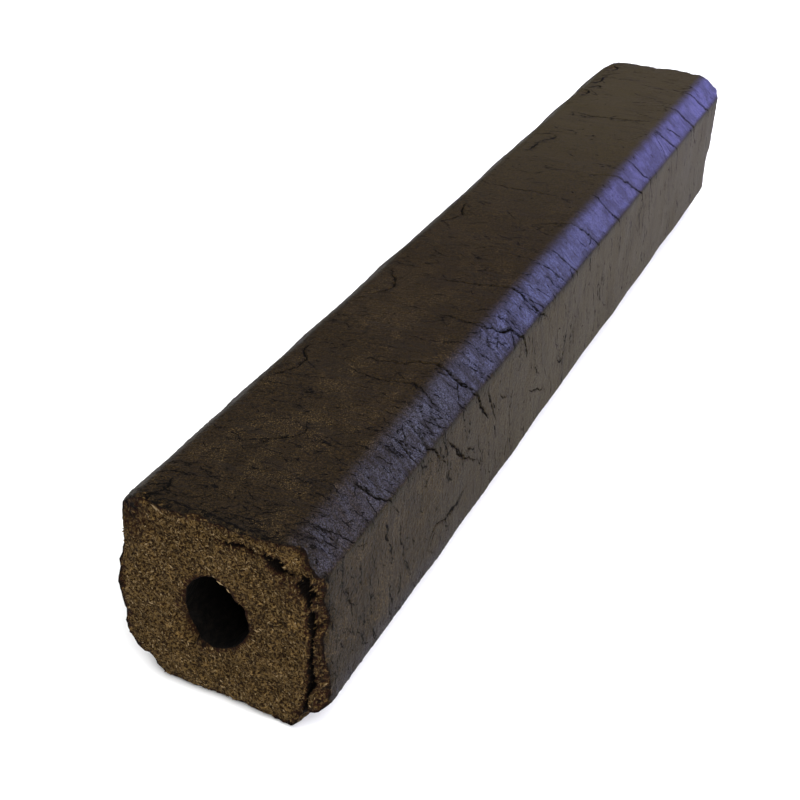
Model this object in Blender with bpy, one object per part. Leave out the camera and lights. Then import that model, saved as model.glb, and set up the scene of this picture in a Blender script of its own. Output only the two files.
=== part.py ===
"""Wood briquette: sawdust pressed hot through a square die into one bar with a bore down its middle.

The bar lies along X on its base, which is at Z = 0. Its skin is charred and cracked across, and both
ends are broken, not sawn. Lengths are in millimetres until the mesh is made, and MM turns them into
metres. Places on the skin are given as (u, s): u runs along the bar from its +X end, and s runs round
it from the -Y edge of the top face, over the top towards +Y and down.
"""

import math
import random

import bmesh
import bpy
from mathutils import Matrix, Vector, noise

MM = 0.001

# The bar
LENGTH = 305.0
SIDE = 50.0
TOP_CHAMFER = 7.0
BASE_CHAMFER = 9.0
SLICE = 10.5
STRIP = 6.5
WAVE = 0.4
WAVE_REACH = 17.0
SPARE = 6.0

# The bore
BORE = 15.8
BORE_Y = -1.0
BORE_Z = 24.6
BORE_SIDES = 22
BORE_RINGS = 18
BORE_WAVE = 0.55

# The broken ends: how rough, and how far each form stands back from the bar's full length or proud of it
END_CELLS = 22
END_ROUGH = 0.8
END_REACH = 7.0
NEAR_BACK = 2.0
NEAR_CORNER_BACK = 2.0
NEAR_STRIP_BACK = 0.5
NEAR_TOP_BACK = 0.5
NEAR_FOOT_PROUD = 0.9
FAR_BACK = 0.8
FAR_DOME = 1.0
FAR_CORNER_BACK = 2.0

# A crack narrows to this share of a step beyond its ends, and a lower power keeps it wide for longer
CRACK_TIP = 0.35
CRACK_FULLNESS = 0.7
CUTTER_RISE = 0.5

# Cracks that can be seen from the front, as (width, depth, route of (u, s) points)
CRACKS = (
    (1.0, 1.6, ((25, 13), (29, 15), (31, 18), (34, 19.5), (38, 18))),
    (1.2, 1.8, ((50, 1), (54, 4), (60, 5.5), (64, 2.5), (68, 3))),
    (1.2, 1.8, ((62, 15), (60, 25), (62, 31), (60, 37), (61, 45))),
    (1.8, 2.6, ((67, 16), (68.5, 25), (71, 32), (71.5, 40), (76, 50), (82, 58))),
    (1.6, 2.4, ((47, 37), (49.5, 41), (49, 45), (54, 52))),
    (0.9, 1.4, ((41, 35), (42, 41), (43, 46))),
    (1.4, 2.0, ((24, 37), (27, 43), (30, 48))),
    (0.9, 1.4, ((9, 37), (12, 42), (14, 47))),
    (0.9, 1.4, ((9, 54), (11, 59), (12, 64))),
    (1.0, 1.6, ((56, 48), (61, 53), (66, 59), (76, 66))),
    (1.0, 1.6, ((47, 73), (51, 69), (60, 71), (71, 70))),
    (1.0, 1.5, ((93, 24), (93, 31), (94, 36))),
    (1.8, 2.6, ((92, 34), (96, 40), (101, 42), (103, 46), (108, 53))),
    (1.5, 2.2, ((110, 16), (113, 29), (115, 38), (117, 45), (123, 51))),
    (1.0, 1.5, ((130, 34), (134, 41), (136, 47))),
    (0.9, 1.4, ((140, 36), (142, 43), (144, 49))),
    (1.2, 1.8, ((95, 3), (99, 7), (104, 6), (111, 2))),
    (1.1, 1.6, ((81, 48), (84, 56), (86, 60))),
    (1.0, 1.5, ((110, 66), (116, 69), (123, 72))),
    (1.1, 1.7, ((144, 2), (149, 5), (158, 3))),
    (1.0, 1.5, ((173, 4), (174, 15), (174, 26))),
    (1.3, 1.9, ((154, 28), (157, 34), (161, 42), (163, 50))),
    (1.1, 1.6, ((180, 34), (179.5, 42), (182, 49))),
    (1.4, 2.0, ((193, 28), (196, 34), (202, 44), (208, 51))),
    (1.1, 1.6, ((211, 34), (212, 41), (216, 50))),
    (1.1, 1.6, ((239, 36), (242, 42), (247, 50))),
    (1.1, 1.6, ((245, 5), (244, 18), (247, 33))),
    (1.2, 1.8, ((262, 32), (265, 42), (270, 52))),
    (1.1, 1.6, ((281, 33), (284, 42), (288, 50))),
)

# Cracks on the sides that can't be seen from the front
HIDDEN_SEED = 23
HIDDEN_STEP = 16.0
HIDDEN_SIDES = ((84.0, 28.0), (103.0, 28.0), (131.0, 26.0), (152.0, 26.0))

# The outer layer has come loose from the core: (y, z, width, depth) along each end's ring crevice
NEAR_CREVICE = (
    (-3, 45.3, 0.6, 3),
    (5, 44.8, 0.9, 5),
    (11, 44.2, 1.2, 6),
    (15, 43.2, 2.2, 8),
    (19.5, 41.6, 1.6, 8),
    (21.4, 37, 2.3, 11),
    (21.6, 32, 2.0, 10),
    (21.2, 27, 0.9, 6),
    (20.4, 20, 1.5, 8),
    (19.7, 12, 1.3, 7),
    (18, 5, 1.2, 6),
    (15.5, 0.5, 0.9, 5),
)
FAR_CREVICE = (
    (9, 5.5, 0.7, 4),
    (-2, 4.8, 1.2, 6),
    (-14, 6, 1.5, 8),
    (-20, 13, 1.8, 9),
    (-21, 25, 1.3, 7),
    (-20.5, 38, 1.0, 5),
)

# Bits broken out of the edges, as (u, y, z, length, width, height)
CHIPS = (
    (0, -22, 46, 7, 9, 8),
    (0, -15.5, 49.5, 6, 3.6, 4),
    (0, -8, 17.5, 9, 6, 9),
    (1, 2, 51, 5, 7, 3),
    (0, 21, 3, 8, 9, 8),
    (0, -21, 3, 6, 8, 7),
    (26, 19, 49, 3.5, 3, 4),
    (101, 21, 47, 4, 3, 4),
    (56, -18.5, 50, 7, 3, 3),
    (148, -18.5, 50, 9, 3, 2.4),
    (268, -19, 49.5, 12, 3.5, 3.4),
    (283, -21, 47.5, 8, 3.5, 5),
    (304, -22, 45, 10, 10, 9),
    (306, 20, 46, 6, 8, 6),
)
RIM_SEED = 11
RIM_CHIPS = 13
RIM_LEAST = 1.6
RIM_MOST = 3.4

CHARRED_WOOD = (0.045, 0.033, 0.022, 1.0)
ROUGHNESS = 0.5


def corners():
    """The eight corners of the bar's section, as (y, z), in the order in which s passes them."""
    half = SIDE / 2
    top, base = half - TOP_CHAMFER, half - BASE_CHAMFER
    return (
        (-top, SIDE),
        (top, SIDE),
        (half, SIDE - TOP_CHAMFER),
        (half, BASE_CHAMFER),
        (base, 0.0),
        (-base, 0.0),
        (-half, BASE_CHAMFER),
        (-half, SIDE - TOP_CHAMFER),
    )


def corner_places():
    """The value of s at each corner, and at the end of the full turn."""
    places = [0.0]
    ring = corners()
    for here, after in zip(ring, ring[1:] + ring[:1]):
        places.append(places[-1] + math.dist(here, after))
    return places


def skin(u, s):
    """The point of the skin at (u, s), and its outward direction."""
    ring = corners()
    places = corner_places()
    s %= places[-1]
    side = max(k for k in range(len(ring)) if places[k] <= s)
    start, end = ring[side], ring[(side + 1) % len(ring)]
    share = (s - places[side]) / (places[side + 1] - places[side])
    y = start[0] + share * (end[0] - start[0])
    z = start[1] + share * (end[1] - start[1])
    outward = Vector((0.0, start[1] - end[1], end[0] - start[0])).normalized()
    return Vector((LENGTH / 2 - u, y, z)), outward


def over_corners(route):
    """The route with a point added wherever it passes one of the bar's corners."""
    places = corner_places()
    full = [route[0]]
    for (u0, s0), (u1, s1) in zip(route, route[1:]):
        passed = [p for p in places if min(s0, s1) < p < max(s0, s1)]
        for s in sorted(passed, reverse=s1 < s0):
            full.append((u0 + (u1 - u0) * (s - s0) / (s1 - s0), s))
        full.append((u1, s1))
    return full


def to_object(bm, name, collection):
    """Turns a mesh in millimetres into an object in metres."""
    bmesh.ops.scale(bm, vec=(MM, MM, MM), verts=bm.verts)
    bmesh.ops.recalc_face_normals(bm, faces=bm.faces[:])
    mesh = bpy.data.meshes.new(name)
    bm.to_mesh(mesh)
    bm.free()
    made = bpy.data.objects.new(name, mesh)
    collection.objects.link(made)
    return made


def waviness(place, reach):
    """A smooth value from 0 to 1 that changes over about this reach."""
    return max(0.0, min(1.0, noise.noise(place / reach) + 0.5))


def bar_blank(collection):
    """The pressed bar before its ends are broken: a chamfered box whose skin is slightly uneven."""
    bm = bmesh.new()
    size = Matrix.Diagonal((LENGTH + 2 * SPARE, SIDE, SIDE, 1.0))
    bmesh.ops.create_cube(bm, size=1.0, matrix=Matrix.Translation((0, 0, SIDE / 2)) @ size)
    for above, chamfer in ((True, TOP_CHAMFER), (False, BASE_CHAMFER)):
        long_edges = [
            edge
            for edge in bm.edges
            if edge.calc_length() > LENGTH and (edge.verts[0].co.z > SIDE / 2) == above
        ]
        bmesh.ops.bevel(bm, geom=long_edges, offset=chamfer, segments=1, affect="EDGES")
    slices = round(LENGTH / SLICE)
    cuts = [((LENGTH * (k / slices - 0.5), 0, 0), (1, 0, 0)) for k in range(slices + 1)]
    strips = int((SIDE / 2 - BASE_CHAMFER) / STRIP)
    for k in range(-strips, strips + 1):
        cuts.append(((0, k * STRIP, 0), (0, 1, 0)))
        cuts.append(((0, 0, SIDE / 2 + k * STRIP), (0, 0, 1)))
    for place, across in cuts:
        everything = bm.verts[:] + bm.edges[:] + bm.faces[:]
        bmesh.ops.bisect_plane(bm, geom=everything, plane_co=place, plane_no=across)
    bm.normal_update()
    inward = {vert: -vert.normal for vert in bm.verts if vert.co.z > 0.01}
    for vert, way in inward.items():
        way.x = 0.0
        vert.co += WAVE * waviness(vert.co, WAVE_REACH) * way
    return to_object(bm, "briquette", collection)


def bore_cutter(collection):
    """The hole that the die's mandrel leaves, with a slightly uneven wall."""
    bm = bmesh.new()
    length = LENGTH + 4 * SPARE
    bmesh.ops.create_cone(
        bm,
        cap_ends=True,
        segments=BORE_SIDES,
        radius1=BORE / 2,
        radius2=BORE / 2,
        depth=length,
        matrix=Matrix.Rotation(math.radians(90), 4, "Y"),
    )
    for k in range(1, BORE_RINGS):
        everything = bm.verts[:] + bm.edges[:] + bm.faces[:]
        place = (length * (k / BORE_RINGS - 0.5), 0, 0)
        bmesh.ops.bisect_plane(bm, geom=everything, plane_co=place, plane_no=(1, 0, 0))
    for vert in bm.verts:
        swell = BORE_WAVE * (waviness(vert.co, BORE) - 0.5)
        vert.co.y *= 1 + 2 * swell / BORE
        vert.co.z *= 1 + 2 * swell / BORE
    bmesh.ops.translate(bm, vec=(0, BORE_Y, BORE_Z), verts=bm.verts)
    return to_object(bm, "bore_cutter", collection)


def hump(y, z, centre_y, centre_z, reach_y, reach_z):
    """A smooth swelling of height 1 round a place on an end."""
    return math.exp(-(((y - centre_y) / reach_y) ** 2) - ((z - centre_z) / reach_z) ** 2)


def step(value, start, end):
    """Rises smoothly from 0 at start to 1 at end."""
    share = max(0.0, min(1.0, (value - start) / (end - start)))
    return share * share * (3 - 2 * share)


def roughness_of_end(y, z, seed):
    """The torn fibres of a broken end, coarse and fine together."""
    place = Vector((y, z, seed)) / END_REACH
    return END_ROUGH * (noise.noise(place) + 0.5 * noise.noise(2.7 * place))


def near_depth(y, z):
    """How far back the break at the +X end lies. Its foot stands proud and its rim is set back."""
    depth = NEAR_BACK + roughness_of_end(y, z, 5.0)
    depth += NEAR_CORNER_BACK * hump(y, z, -23, 46, 7, 7)
    depth += NEAR_STRIP_BACK * step(y, 20.5, 22.5)
    depth += NEAR_TOP_BACK * step(z, 44, 48)
    depth -= NEAR_FOOT_PROUD * hump(y, z, -6, 5, 15, 7)
    return depth


def far_depth(y, z):
    """How far back the break at the -X end lies. It is domed, with a low corner broken away."""
    depth = FAR_BACK + roughness_of_end(y, z, 31.0)
    depth += FAR_DOME * (math.hypot(y, z - SIDE / 2) / (SIDE / 2)) ** 2
    depth += FAR_CORNER_BACK * step(y, 2, 12) * step(SIDE - z, 24, 30)
    return depth


def inside_section(y, z):
    """True where (y, z) lies within the bar's section."""
    half = SIDE / 2
    within = abs(y) <= half and 0 <= z <= SIDE
    below_top = abs(y) + z <= half + SIDE - TOP_CHAMFER
    above_base = abs(y) - z <= half - BASE_CHAMFER
    return within and below_top and above_base


def end_breaker(name, way, depth_of, collection):
    """A block whose inner face is the break. It is set so that the bar is exactly LENGTH long."""
    bm = bmesh.new()
    reach = SIDE / 2 + 2.0
    bmesh.ops.create_grid(bm, x_segments=END_CELLS, y_segments=END_CELLS, size=reach)
    depths = {}
    for vert in bm.verts:
        y, z = vert.co.x, vert.co.y + SIDE / 2
        depths[vert] = depth_of(y, z)
        vert.co = (0.0, y, z)
    least = min(d for vert, d in depths.items() if inside_section(vert.co.y, vert.co.z))
    for vert, depth in depths.items():
        vert.co.x = way * (LENGTH / 2 - max(0.0, depth - least))
    outer = bmesh.ops.extrude_face_region(bm, geom=bm.faces[:])["geom"]
    for item in outer:
        if isinstance(item, bmesh.types.BMVert):
            item.co.x = way * (LENGTH / 2 + 2 * SPARE)
    return to_object(bm, name, collection)


def add_wedge(bm, places, widths, depths, rise):
    """Adds a closed wedge to the mesh along places, (point, outward) pairs, with its edge pointing in."""
    rings = []
    for k, (point, outward) in enumerate(places):
        before = places[max(k - 1, 0)][0]
        after = places[min(k + 1, len(places) - 1)][0]
        across = outward.cross(after - before).normalized() * widths[k] / 2
        rings.append(
            (
                bm.verts.new(point + rise * outward + across),
                bm.verts.new(point + rise * outward - across),
                bm.verts.new(point - depths[k] * outward),
            )
        )
    for here, after in zip(rings, rings[1:]):
        for k in range(3):
            bm.faces.new((here[k], here[k - 1], after[k - 1], after[k]))
    bm.faces.new(rings[0])
    bm.faces.new(reversed(rings[-1]))


def add_crack(bm, route, width, depth):
    """A crack in the skin that narrows and rises to nothing at both of its ends."""
    full = over_corners(route)
    places = [skin(u, s) for u, s in full]
    for k in range(1, len(places) - 1):
        blend = places[k - 1][1] + 2 * places[k][1] + places[k + 1][1]
        places[k] = (places[k][0], blend.normalized())
    steps = len(full) - 1 + 2 * CRACK_TIP
    turns = [math.pi * (k + CRACK_TIP) / steps for k in range(len(full))]
    share = [math.sin(turn) ** CRACK_FULLNESS for turn in turns]
    add_wedge(bm, places, [width * w for w in share], [depth * w for w in share], CUTTER_RISE)


def hidden_cracks():
    """Cracks of the same kind for the base and the -Y side, spaced and bent at random."""
    draw = random.Random(HIDDEN_SEED)
    found = []
    for start, reach in HIDDEN_SIDES:
        u = draw.uniform(8, HIDDEN_STEP)
        while u < LENGTH - 12:
            length = reach * draw.uniform(0.35, 0.8)
            s = start + draw.uniform(0, reach - length)
            lean = draw.uniform(-0.15, 0.35)
            bend = draw.uniform(-3, 3)
            middle = (u + lean * length / 2 + bend, s + length / 2)
            route = ((u, s), middle, (u + lean * length, s + length))
            found.append((draw.uniform(0.9, 1.5), draw.uniform(1.4, 2.2), route))
            u += HIDDEN_STEP * draw.uniform(0.8, 1.7)
    return found


def crack_cutters(collection):
    """One cutter for each crack in the skin."""
    made = []
    for k, (width, depth, route) in enumerate(list(CRACKS) + hidden_cracks()):
        bm = bmesh.new()
        add_crack(bm, route, width, depth)
        made.append(to_object(bm, f"crack_cutter_{k + 1:02d}", collection))
    return made


def crevice_cutter(name, way, stations, collection):
    """The gap at an end where the outer layer has come away from the core."""
    bm = bmesh.new()
    outward = Vector((way, 0.0, 0.0))
    places = [(Vector((way * LENGTH / 2, y, z)), outward) for y, z, width, depth in stations]
    widths = [1.5 * width for y, z, width, depth in stations]
    depths = [depth for y, z, width, depth in stations]
    add_wedge(bm, places, widths, depths, SPARE / 2)
    return to_object(bm, name, collection)


def rim_chips():
    """Small bits missing from the rims of both ends, placed at random round them."""
    draw = random.Random(RIM_SEED)
    around = corner_places()[-1]
    found = []
    for u in (0.0, LENGTH):
        for k in range(RIM_CHIPS):
            point, outward = skin(u, around * (k + draw.uniform(0.2, 0.8)) / RIM_CHIPS)
            size = [draw.uniform(RIM_LEAST, RIM_MOST) for axis in range(3)]
            found.append((u, point.y, point.z, 2 * size[0], size[1], size[2]))
    return found


def chip_cutters(collection):
    """One rough lump for each bit that has broken out of an edge."""
    draw = random.Random(RIM_SEED + 1)
    made = []
    for k, (u, y, z, *size) in enumerate(list(CHIPS) + rim_chips()):
        bm = bmesh.new()
        bmesh.ops.create_icosphere(bm, subdivisions=1, radius=0.5)
        for vert in bm.verts:
            vert.co *= draw.uniform(0.8, 1.1)
        bmesh.ops.scale(bm, vec=size, verts=bm.verts)
        bmesh.ops.translate(bm, vec=(LENGTH / 2 - u, y, z), verts=bm.verts)
        made.append(to_object(bm, f"chip_cutter_{k + 1:02d}", collection))
    return made


def wood_material():
    """Charred pressed sawdust."""
    material = bpy.data.materials.new("charred_wood")
    material.use_nodes = True
    surface = material.node_tree.nodes["Principled BSDF"]
    surface.inputs["Base Color"].default_value = CHARRED_WOOD
    surface.inputs["Roughness"].default_value = ROUGHNESS
    surface.inputs["Metallic"].default_value = 0.0
    return material


def build():
    for old in list(bpy.data.objects):
        bpy.data.objects.remove(old)
    parts = bpy.data.collections.new("wood_briquette")
    cutters = bpy.data.collections.new("cutters")
    for collection in (parts, cutters):
        bpy.context.scene.collection.children.link(collection)
    cutters.hide_render = True

    bar = bar_blank(parts)
    bar.data.materials.append(wood_material())

    bore_cutter(cutters)
    end_breaker("near_breaker", 1.0, near_depth, cutters)
    end_breaker("far_breaker", -1.0, far_depth, cutters)
    crevice_cutter("near_crevice", 1.0, NEAR_CREVICE, cutters)
    crevice_cutter("far_crevice", -1.0, FAR_CREVICE, cutters)
    crack_cutters(cutters)
    chip_cutters(cutters)
    for cutter in cutters.objects:
        cutter.hide_render = True
        cutter.display_type = "WIRE"

    cut = bar.modifiers.new("bore_cracks_and_breaks", "BOOLEAN")
    cut.operation = "DIFFERENCE"
    cut.operand_type = "COLLECTION"
    cut.collection = cutters
    cut.solver = "EXACT"
    cut.use_self = True


build()
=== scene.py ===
"""A wood briquette as it is photographed for sale: a charred and cracked bar with torn ends.

Lengths are in millimetres, and a mesh is turned into metres as it is made. A place on the skin is
(u, s): u runs along the bar from the end that faces the camera, at +X, and s runs round it from the
-Y edge of the top face, over the top towards +Y and down.
"""

import math
import random

import bpy
import numpy as np
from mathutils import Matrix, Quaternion, Vector, noise


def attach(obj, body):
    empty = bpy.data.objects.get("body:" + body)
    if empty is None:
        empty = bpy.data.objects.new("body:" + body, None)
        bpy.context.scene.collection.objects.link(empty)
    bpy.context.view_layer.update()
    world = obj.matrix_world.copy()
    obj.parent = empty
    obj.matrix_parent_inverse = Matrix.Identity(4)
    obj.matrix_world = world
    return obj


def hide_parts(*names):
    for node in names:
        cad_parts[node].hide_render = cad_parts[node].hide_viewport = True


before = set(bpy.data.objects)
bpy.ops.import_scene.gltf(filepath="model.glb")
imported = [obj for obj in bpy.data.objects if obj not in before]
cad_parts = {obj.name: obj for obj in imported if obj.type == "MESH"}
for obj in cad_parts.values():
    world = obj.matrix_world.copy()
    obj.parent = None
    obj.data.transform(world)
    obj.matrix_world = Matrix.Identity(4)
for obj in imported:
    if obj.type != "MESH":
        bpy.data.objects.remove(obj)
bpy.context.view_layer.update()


# The camera stands where the photograph was taken, above the bar and off its near right corner. Its
# place, way and lens were fitted to the bar's corners and to its known length and width.
CAMERA_PLACE = (0.3034, 0.1130, 0.1961)
CAMERA_WAY = (-0.7575, -0.3647, -0.5414)
CAMERA_ROLL = 0.48
CAMERA_LENS = 55.85
SENSOR_WIDTH = 36.0

camera = bpy.data.objects.new("photo_camera", bpy.data.cameras.new("photo_camera"))
camera.data.lens = CAMERA_LENS
camera.data.sensor_width = SENSOR_WIDTH
camera.data.clip_start = 0.01
camera.location = CAMERA_PLACE
camera.rotation_mode = "QUATERNION"
straight = Vector(CAMERA_WAY).to_track_quat("-Z", "Y")
camera.rotation_quaternion = straight @ Quaternion((0, 0, 1), math.radians(CAMERA_ROLL))
bpy.context.scene.collection.objects.link(camera)
bpy.context.scene.camera = camera


# The skin is sawdust that the hot die has pressed, charred and glazed. It is a square tube with its
# four long corners cut off flat, slightly uneven, and it cracked across as the bar left the die. The
# edges of the top face are worn soft, and its other edges are sharper.
LENGTH = 305.0
SIDE = 50.0
TOP_CHAMFER = 7.0
BASE_CHAMFER = 9.0
SECTION_STEP = 0.05
SLOPE_POINTS = 8
SHARP_WEAR = 0.7
SOFT_WEAR = 2.2
SOFT_WITHIN = (3.0, 6.0)
WAVE = 0.4
WAVE_REACH = 17.0
BASE_FLAT = 6.0


def section_corners():
    """The eight corners of the die's section, as (y, z), in the order in which s passes them."""
    half = SIDE / 2
    top, base = half - TOP_CHAMFER, half - BASE_CHAMFER
    return [
        (-top, SIDE),
        (top, SIDE),
        (half, SIDE - TOP_CHAMFER),
        (half, BASE_CHAMFER),
        (base, 0.0),
        (-base, 0.0),
        (-half, BASE_CHAMFER),
        (-half, SIDE - TOP_CHAMFER),
    ]


def corner_places():
    """The value of s at each corner, and at the end of the full turn."""
    places = [0.0]
    ring = section_corners()
    for here, after in zip(ring, ring[1:] + ring[:1]):
        places.append(places[-1] + math.dist(here, after))
    return places


CORNER_PLACES = corner_places()
GIRTH = CORNER_PLACES[-1]


def worn(values, reach):
    """A closed outline's values with its corners rounded over this reach."""
    n = round(reach / SECTION_STEP)
    wrapped = np.concatenate([values[-n:], values, values[:n]])
    return np.convolve(wrapped, np.full(2 * n + 1, 1 / (2 * n + 1)), "valid")


def step(value, start, end):
    """Rises smoothly from 0 at start to 1 at end."""
    share = np.clip((value - start) / (end - start), 0, 1)
    return share * share * (3 - 2 * share)


def sharp_section(s):
    """The y and the z of the unworn section at s."""
    closed = section_corners() + section_corners()[:1]
    return [np.interp(s, CORNER_PLACES, [corner[axis] for corner in closed]) for axis in (0, 1)]


def section(s):
    """The points of the worn section at s, as (y, z), and the outward directions there."""
    every = np.linspace(0, GIRTH, round(GIRTH / SECTION_STEP), endpoint=False)
    top_edges = np.minimum(np.abs(every - CORNER_PLACES[1]), np.minimum(every, GIRTH - every))
    soft = 1 - step(top_edges, *SOFT_WITHIN)
    around = [soft * worn(a, SOFT_WEAR) + (1 - soft) * worn(a, SHARP_WEAR) for a in sharp_section(every)]
    slope = [np.roll(a, -SLOPE_POINTS) - np.roll(a, SLOPE_POINTS) for a in around]
    size = np.hypot(*slope)
    found = [np.interp(s, every, a, period=GIRTH) for a in (*around, -slope[1] / size, slope[0] / size)]
    return np.stack(found[:2], -1), np.stack(found[2:], -1)


def grain(points, reach, seed=0.0):
    """Smooth noise from about -1 to 1 at each point, changing over reach (one value, or one an axis)."""
    places = (np.asarray(points) / reach + seed).reshape(-1, 3)
    return np.array([noise.noise(p) for p in places.tolist()]).reshape(np.shape(points)[:-1])


def waviness(points):
    """From 0 to 1, how far the skin has sunk from the die's own flat faces."""
    return np.clip(grain(points, WAVE_REACH) + 0.5, 0, 1)


# Each end broke as the bar was snapped off. Its torn face stands back from the bar's full length by
# these forms: the near end's foot stands proud, and the far end is domed with a low corner gone. A
# swelling lies at (y, z, reach_y, reach_z), and a slope runs from one value to the other.
END_ROUGH = 0.8
END_REACH = 7.0
FINER_LUMPS = 1 / 2.7
NEAR_SEED = 5.0
NEAR_BACK = 2.0
NEAR_CORNER = (-23, 46, 7, 7)
NEAR_CORNER_BACK = 2.0
NEAR_STRIP = (20.5, 22.5)
NEAR_STRIP_BACK = 0.5
NEAR_TOP = (44, 48)
NEAR_TOP_BACK = 0.5
NEAR_FOOT = (-6, 5, 15, 7)
NEAR_FOOT_PROUD = 0.9
FAR_SEED = 31.0
FAR_BACK = 0.8
FAR_DOME = 1.0
FAR_CORNER_ACROSS = (2, 12)
FAR_CORNER_DOWN = (24, 30)
FAR_CORNER_BACK = 2.0


def hump(y, z, centre_y, centre_z, reach_y, reach_z):
    """A smooth swelling of height 1 round a place on an end."""
    return np.exp(-(((y - centre_y) / reach_y) ** 2) - ((z - centre_z) / reach_z) ** 2)


def torn(y, z, seed):
    """The coarse lumps of a torn end."""
    places = np.stack([y, z, np.full(np.shape(y), seed)], -1) / END_REACH
    return END_ROUGH * (grain(places, 1.0) + 0.5 * grain(places, FINER_LUMPS))


def near_depth(y, z):
    """How far the near end stands back from the bar's full length."""
    depth = NEAR_BACK + torn(y, z, NEAR_SEED)
    depth += NEAR_CORNER_BACK * hump(y, z, *NEAR_CORNER)
    depth += NEAR_STRIP_BACK * step(y, *NEAR_STRIP)
    depth += NEAR_TOP_BACK * step(z, *NEAR_TOP)
    return depth - NEAR_FOOT_PROUD * hump(y, z, *NEAR_FOOT)


def far_depth(y, z):
    """How far the far end stands back from the bar's full length."""
    depth = FAR_BACK + torn(y, z, FAR_SEED)
    depth += FAR_DOME * (np.hypot(y, z - SIDE / 2) / (SIDE / 2)) ** 2
    return depth + FAR_CORNER_BACK * step(y, *FAR_CORNER_ACROSS) * step(SIDE - z, *FAR_CORNER_DOWN)


def inside_section(y, z):
    """Whether each place on an end lies inside the die's section."""
    half = SIDE / 2
    inside = (abs(y) <= half) & (z >= 0) & (z <= SIDE)
    return inside & (abs(y) + z <= half + SIDE - TOP_CHAMFER) & (abs(y) - z <= half - BASE_CHAMFER)


def least_depth(depth_of):
    """The depth at the end's most proud point, which the bar's full length reaches."""
    y, z = np.meshgrid(np.linspace(-27, 27, 23), np.linspace(-2, 52, 23))
    return depth_of(y, z)[inside_section(y, z)].min()


NEAR_LEAST = least_depth(near_depth)
FAR_LEAST = least_depth(far_depth)


# The grid of the skin: rows run round the bar and columns along it, with the finest cells where the
# camera is nearest. The rims at both ends are ragged, so each row starts and stops where its rim does.
# Both rims are the photographed ones where the photograph shows them, as (s, depth).
CELL_NEAR = 0.22
CELL_FAR = 0.52
CELL_ROUND_SEEN = 0.34
CELL_ROUND_HIDDEN = 1.0
SEEN_FROM = -1.0
SEEN_TO = 81.0
NEAR_RIM = (
    (0, 0.9), (2.7, 0.8), (5.8, 0.1), (9.5, 0), (12.2, 0.1), (14.1, 1.2), (15.6, 1.2), (18.7, 0),
    (19.9, 0.7), (22.7, 0.1), (25.7, 0), (28, 0.1), (30, 0.4), (32.7, 0.4), (35, 0.9), (37.3, 1.9),
    (38.6, 3.2), (40.3, 2.6), (41.7, 1.5), (43.3, 1.3), (44.6, 1.5), (46.2, 2.3), (49.6, 2.7),
    (51.6, 1.8), (56.1, 3.4), (58.7, 4.0), (59.6, 2.4), (62.1, 0.9), (65.8, 1.1), (69.4, 2.1),
    (72.7, 2.8), (76.9, 3.2), (79.2, 2.4), (83.3, 0.8), (87.1, 1.3), (90.5, 0.4), (94, 0.8), (101, 1.3),
    (108, 1.8), (113.4, 1.7), (118.2, 1.6), (122.5, 1.8), (126.5, 1.6), (129, 1.2), (131.4, 0.9),
    (133.5, 0.7), (135.6, 0.9), (137.3, 1.2), (140.4, 0.6), (142.6, 0.6), (144.3, 1.0), (146.5, 0.7),
    (148.9, 0.5), (150.4, 0.4), (153.4, 0), (154.4, 0.5), (156.3, 1.5), (158.2, 1.5), (159.4, 2.8),
    (161.5, 3.5), (163.8, 3.9), (166.3, 4.1), (168.6, 4.5), (170.8, 4.7), (175, 3.6), (178.5, 1.8),
)
FAR_RIM = (
    (0, 5.0), (1.5, 1.2), (4, -0.9), (14, -1.2), (17.5, -0.2), (22, -0.9), (26, -0.9), (29, 0.0),
    (31.5, 0.9), (34, 0.6), (36, 1.2), (38.5, -0.4), (42, -0.9), (43.5, -0.5), (45.2, 2.6), (47, 3.4),
    (50, 2.8), (55, 3.3), (60, 3.6), (65, 4.0), (66.8, 6.5), (70, 7.5), (74, 7.0), (77, 7.5), (84, 5.0),
    (92, 2.5), (110, 1.6), (137, 1.4), (158, 1.8), (171, 2.2), (178, 4.2),
)
RIM_RAG = 0.35
RAG_REACH = 2.2
FINE_RAG_REACH = 0.8


def ragged_rim(s, rim, seed):
    """How far back the rim of an end lies at s."""
    places, depths = np.array(rim).T
    turn = 2 * math.pi * s / GIRTH
    place = np.stack([np.cos(turn), np.sin(turn), np.full(len(s), seed)], -1) * GIRTH / (2 * math.pi)
    bites = np.abs(grain(place, RAG_REACH)) + 0.8 * np.abs(grain(place, FINE_RAG_REACH))
    return np.interp(s, places, depths, period=GIRTH) + RIM_RAG * bites


def cell_at(u):
    """The grid's step along the bar, which grows towards the far end."""
    return CELL_NEAR + (CELL_FAR - CELL_NEAR) * np.asarray(u) / LENGTH


def columns():
    """The places of the grid's columns, as shares of the bar's length from 0 to 1."""
    places = [0.0]
    while places[-1] < LENGTH:
        places.append(places[-1] + cell_at(places[-1]))
    return np.array(places) / places[-1]


seen_rows = round((SEEN_TO - SEEN_FROM) / CELL_ROUND_SEEN)
hidden_rows = round((GIRTH + SEEN_FROM - SEEN_TO) / CELL_ROUND_HIDDEN)
row_s = np.concatenate([
    np.linspace(SEEN_FROM, SEEN_TO, seen_rows, endpoint=False),
    np.linspace(SEEN_TO, GIRTH + SEEN_FROM, hidden_rows, endpoint=False),
])
row_yz, row_outward = section(row_s)
near_rim = ragged_rim(row_s, NEAR_RIM, 0.3)
far_rim = ragged_rim(row_s, FAR_RIM, 7.9)
column_share = columns()
skin_u = near_rim[:, None] + (LENGTH - far_rim - near_rim)[:, None] * column_share
skin_s = np.repeat(row_s[:, None], skin_u.shape[1], axis=1)
skin_points = np.empty((*skin_u.shape, 3))
skin_points[..., 0] = LENGTH / 2 - skin_u
skin_points[..., 1:] = row_yz[:, None]
skin_outward = np.zeros(skin_points.shape)
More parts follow.
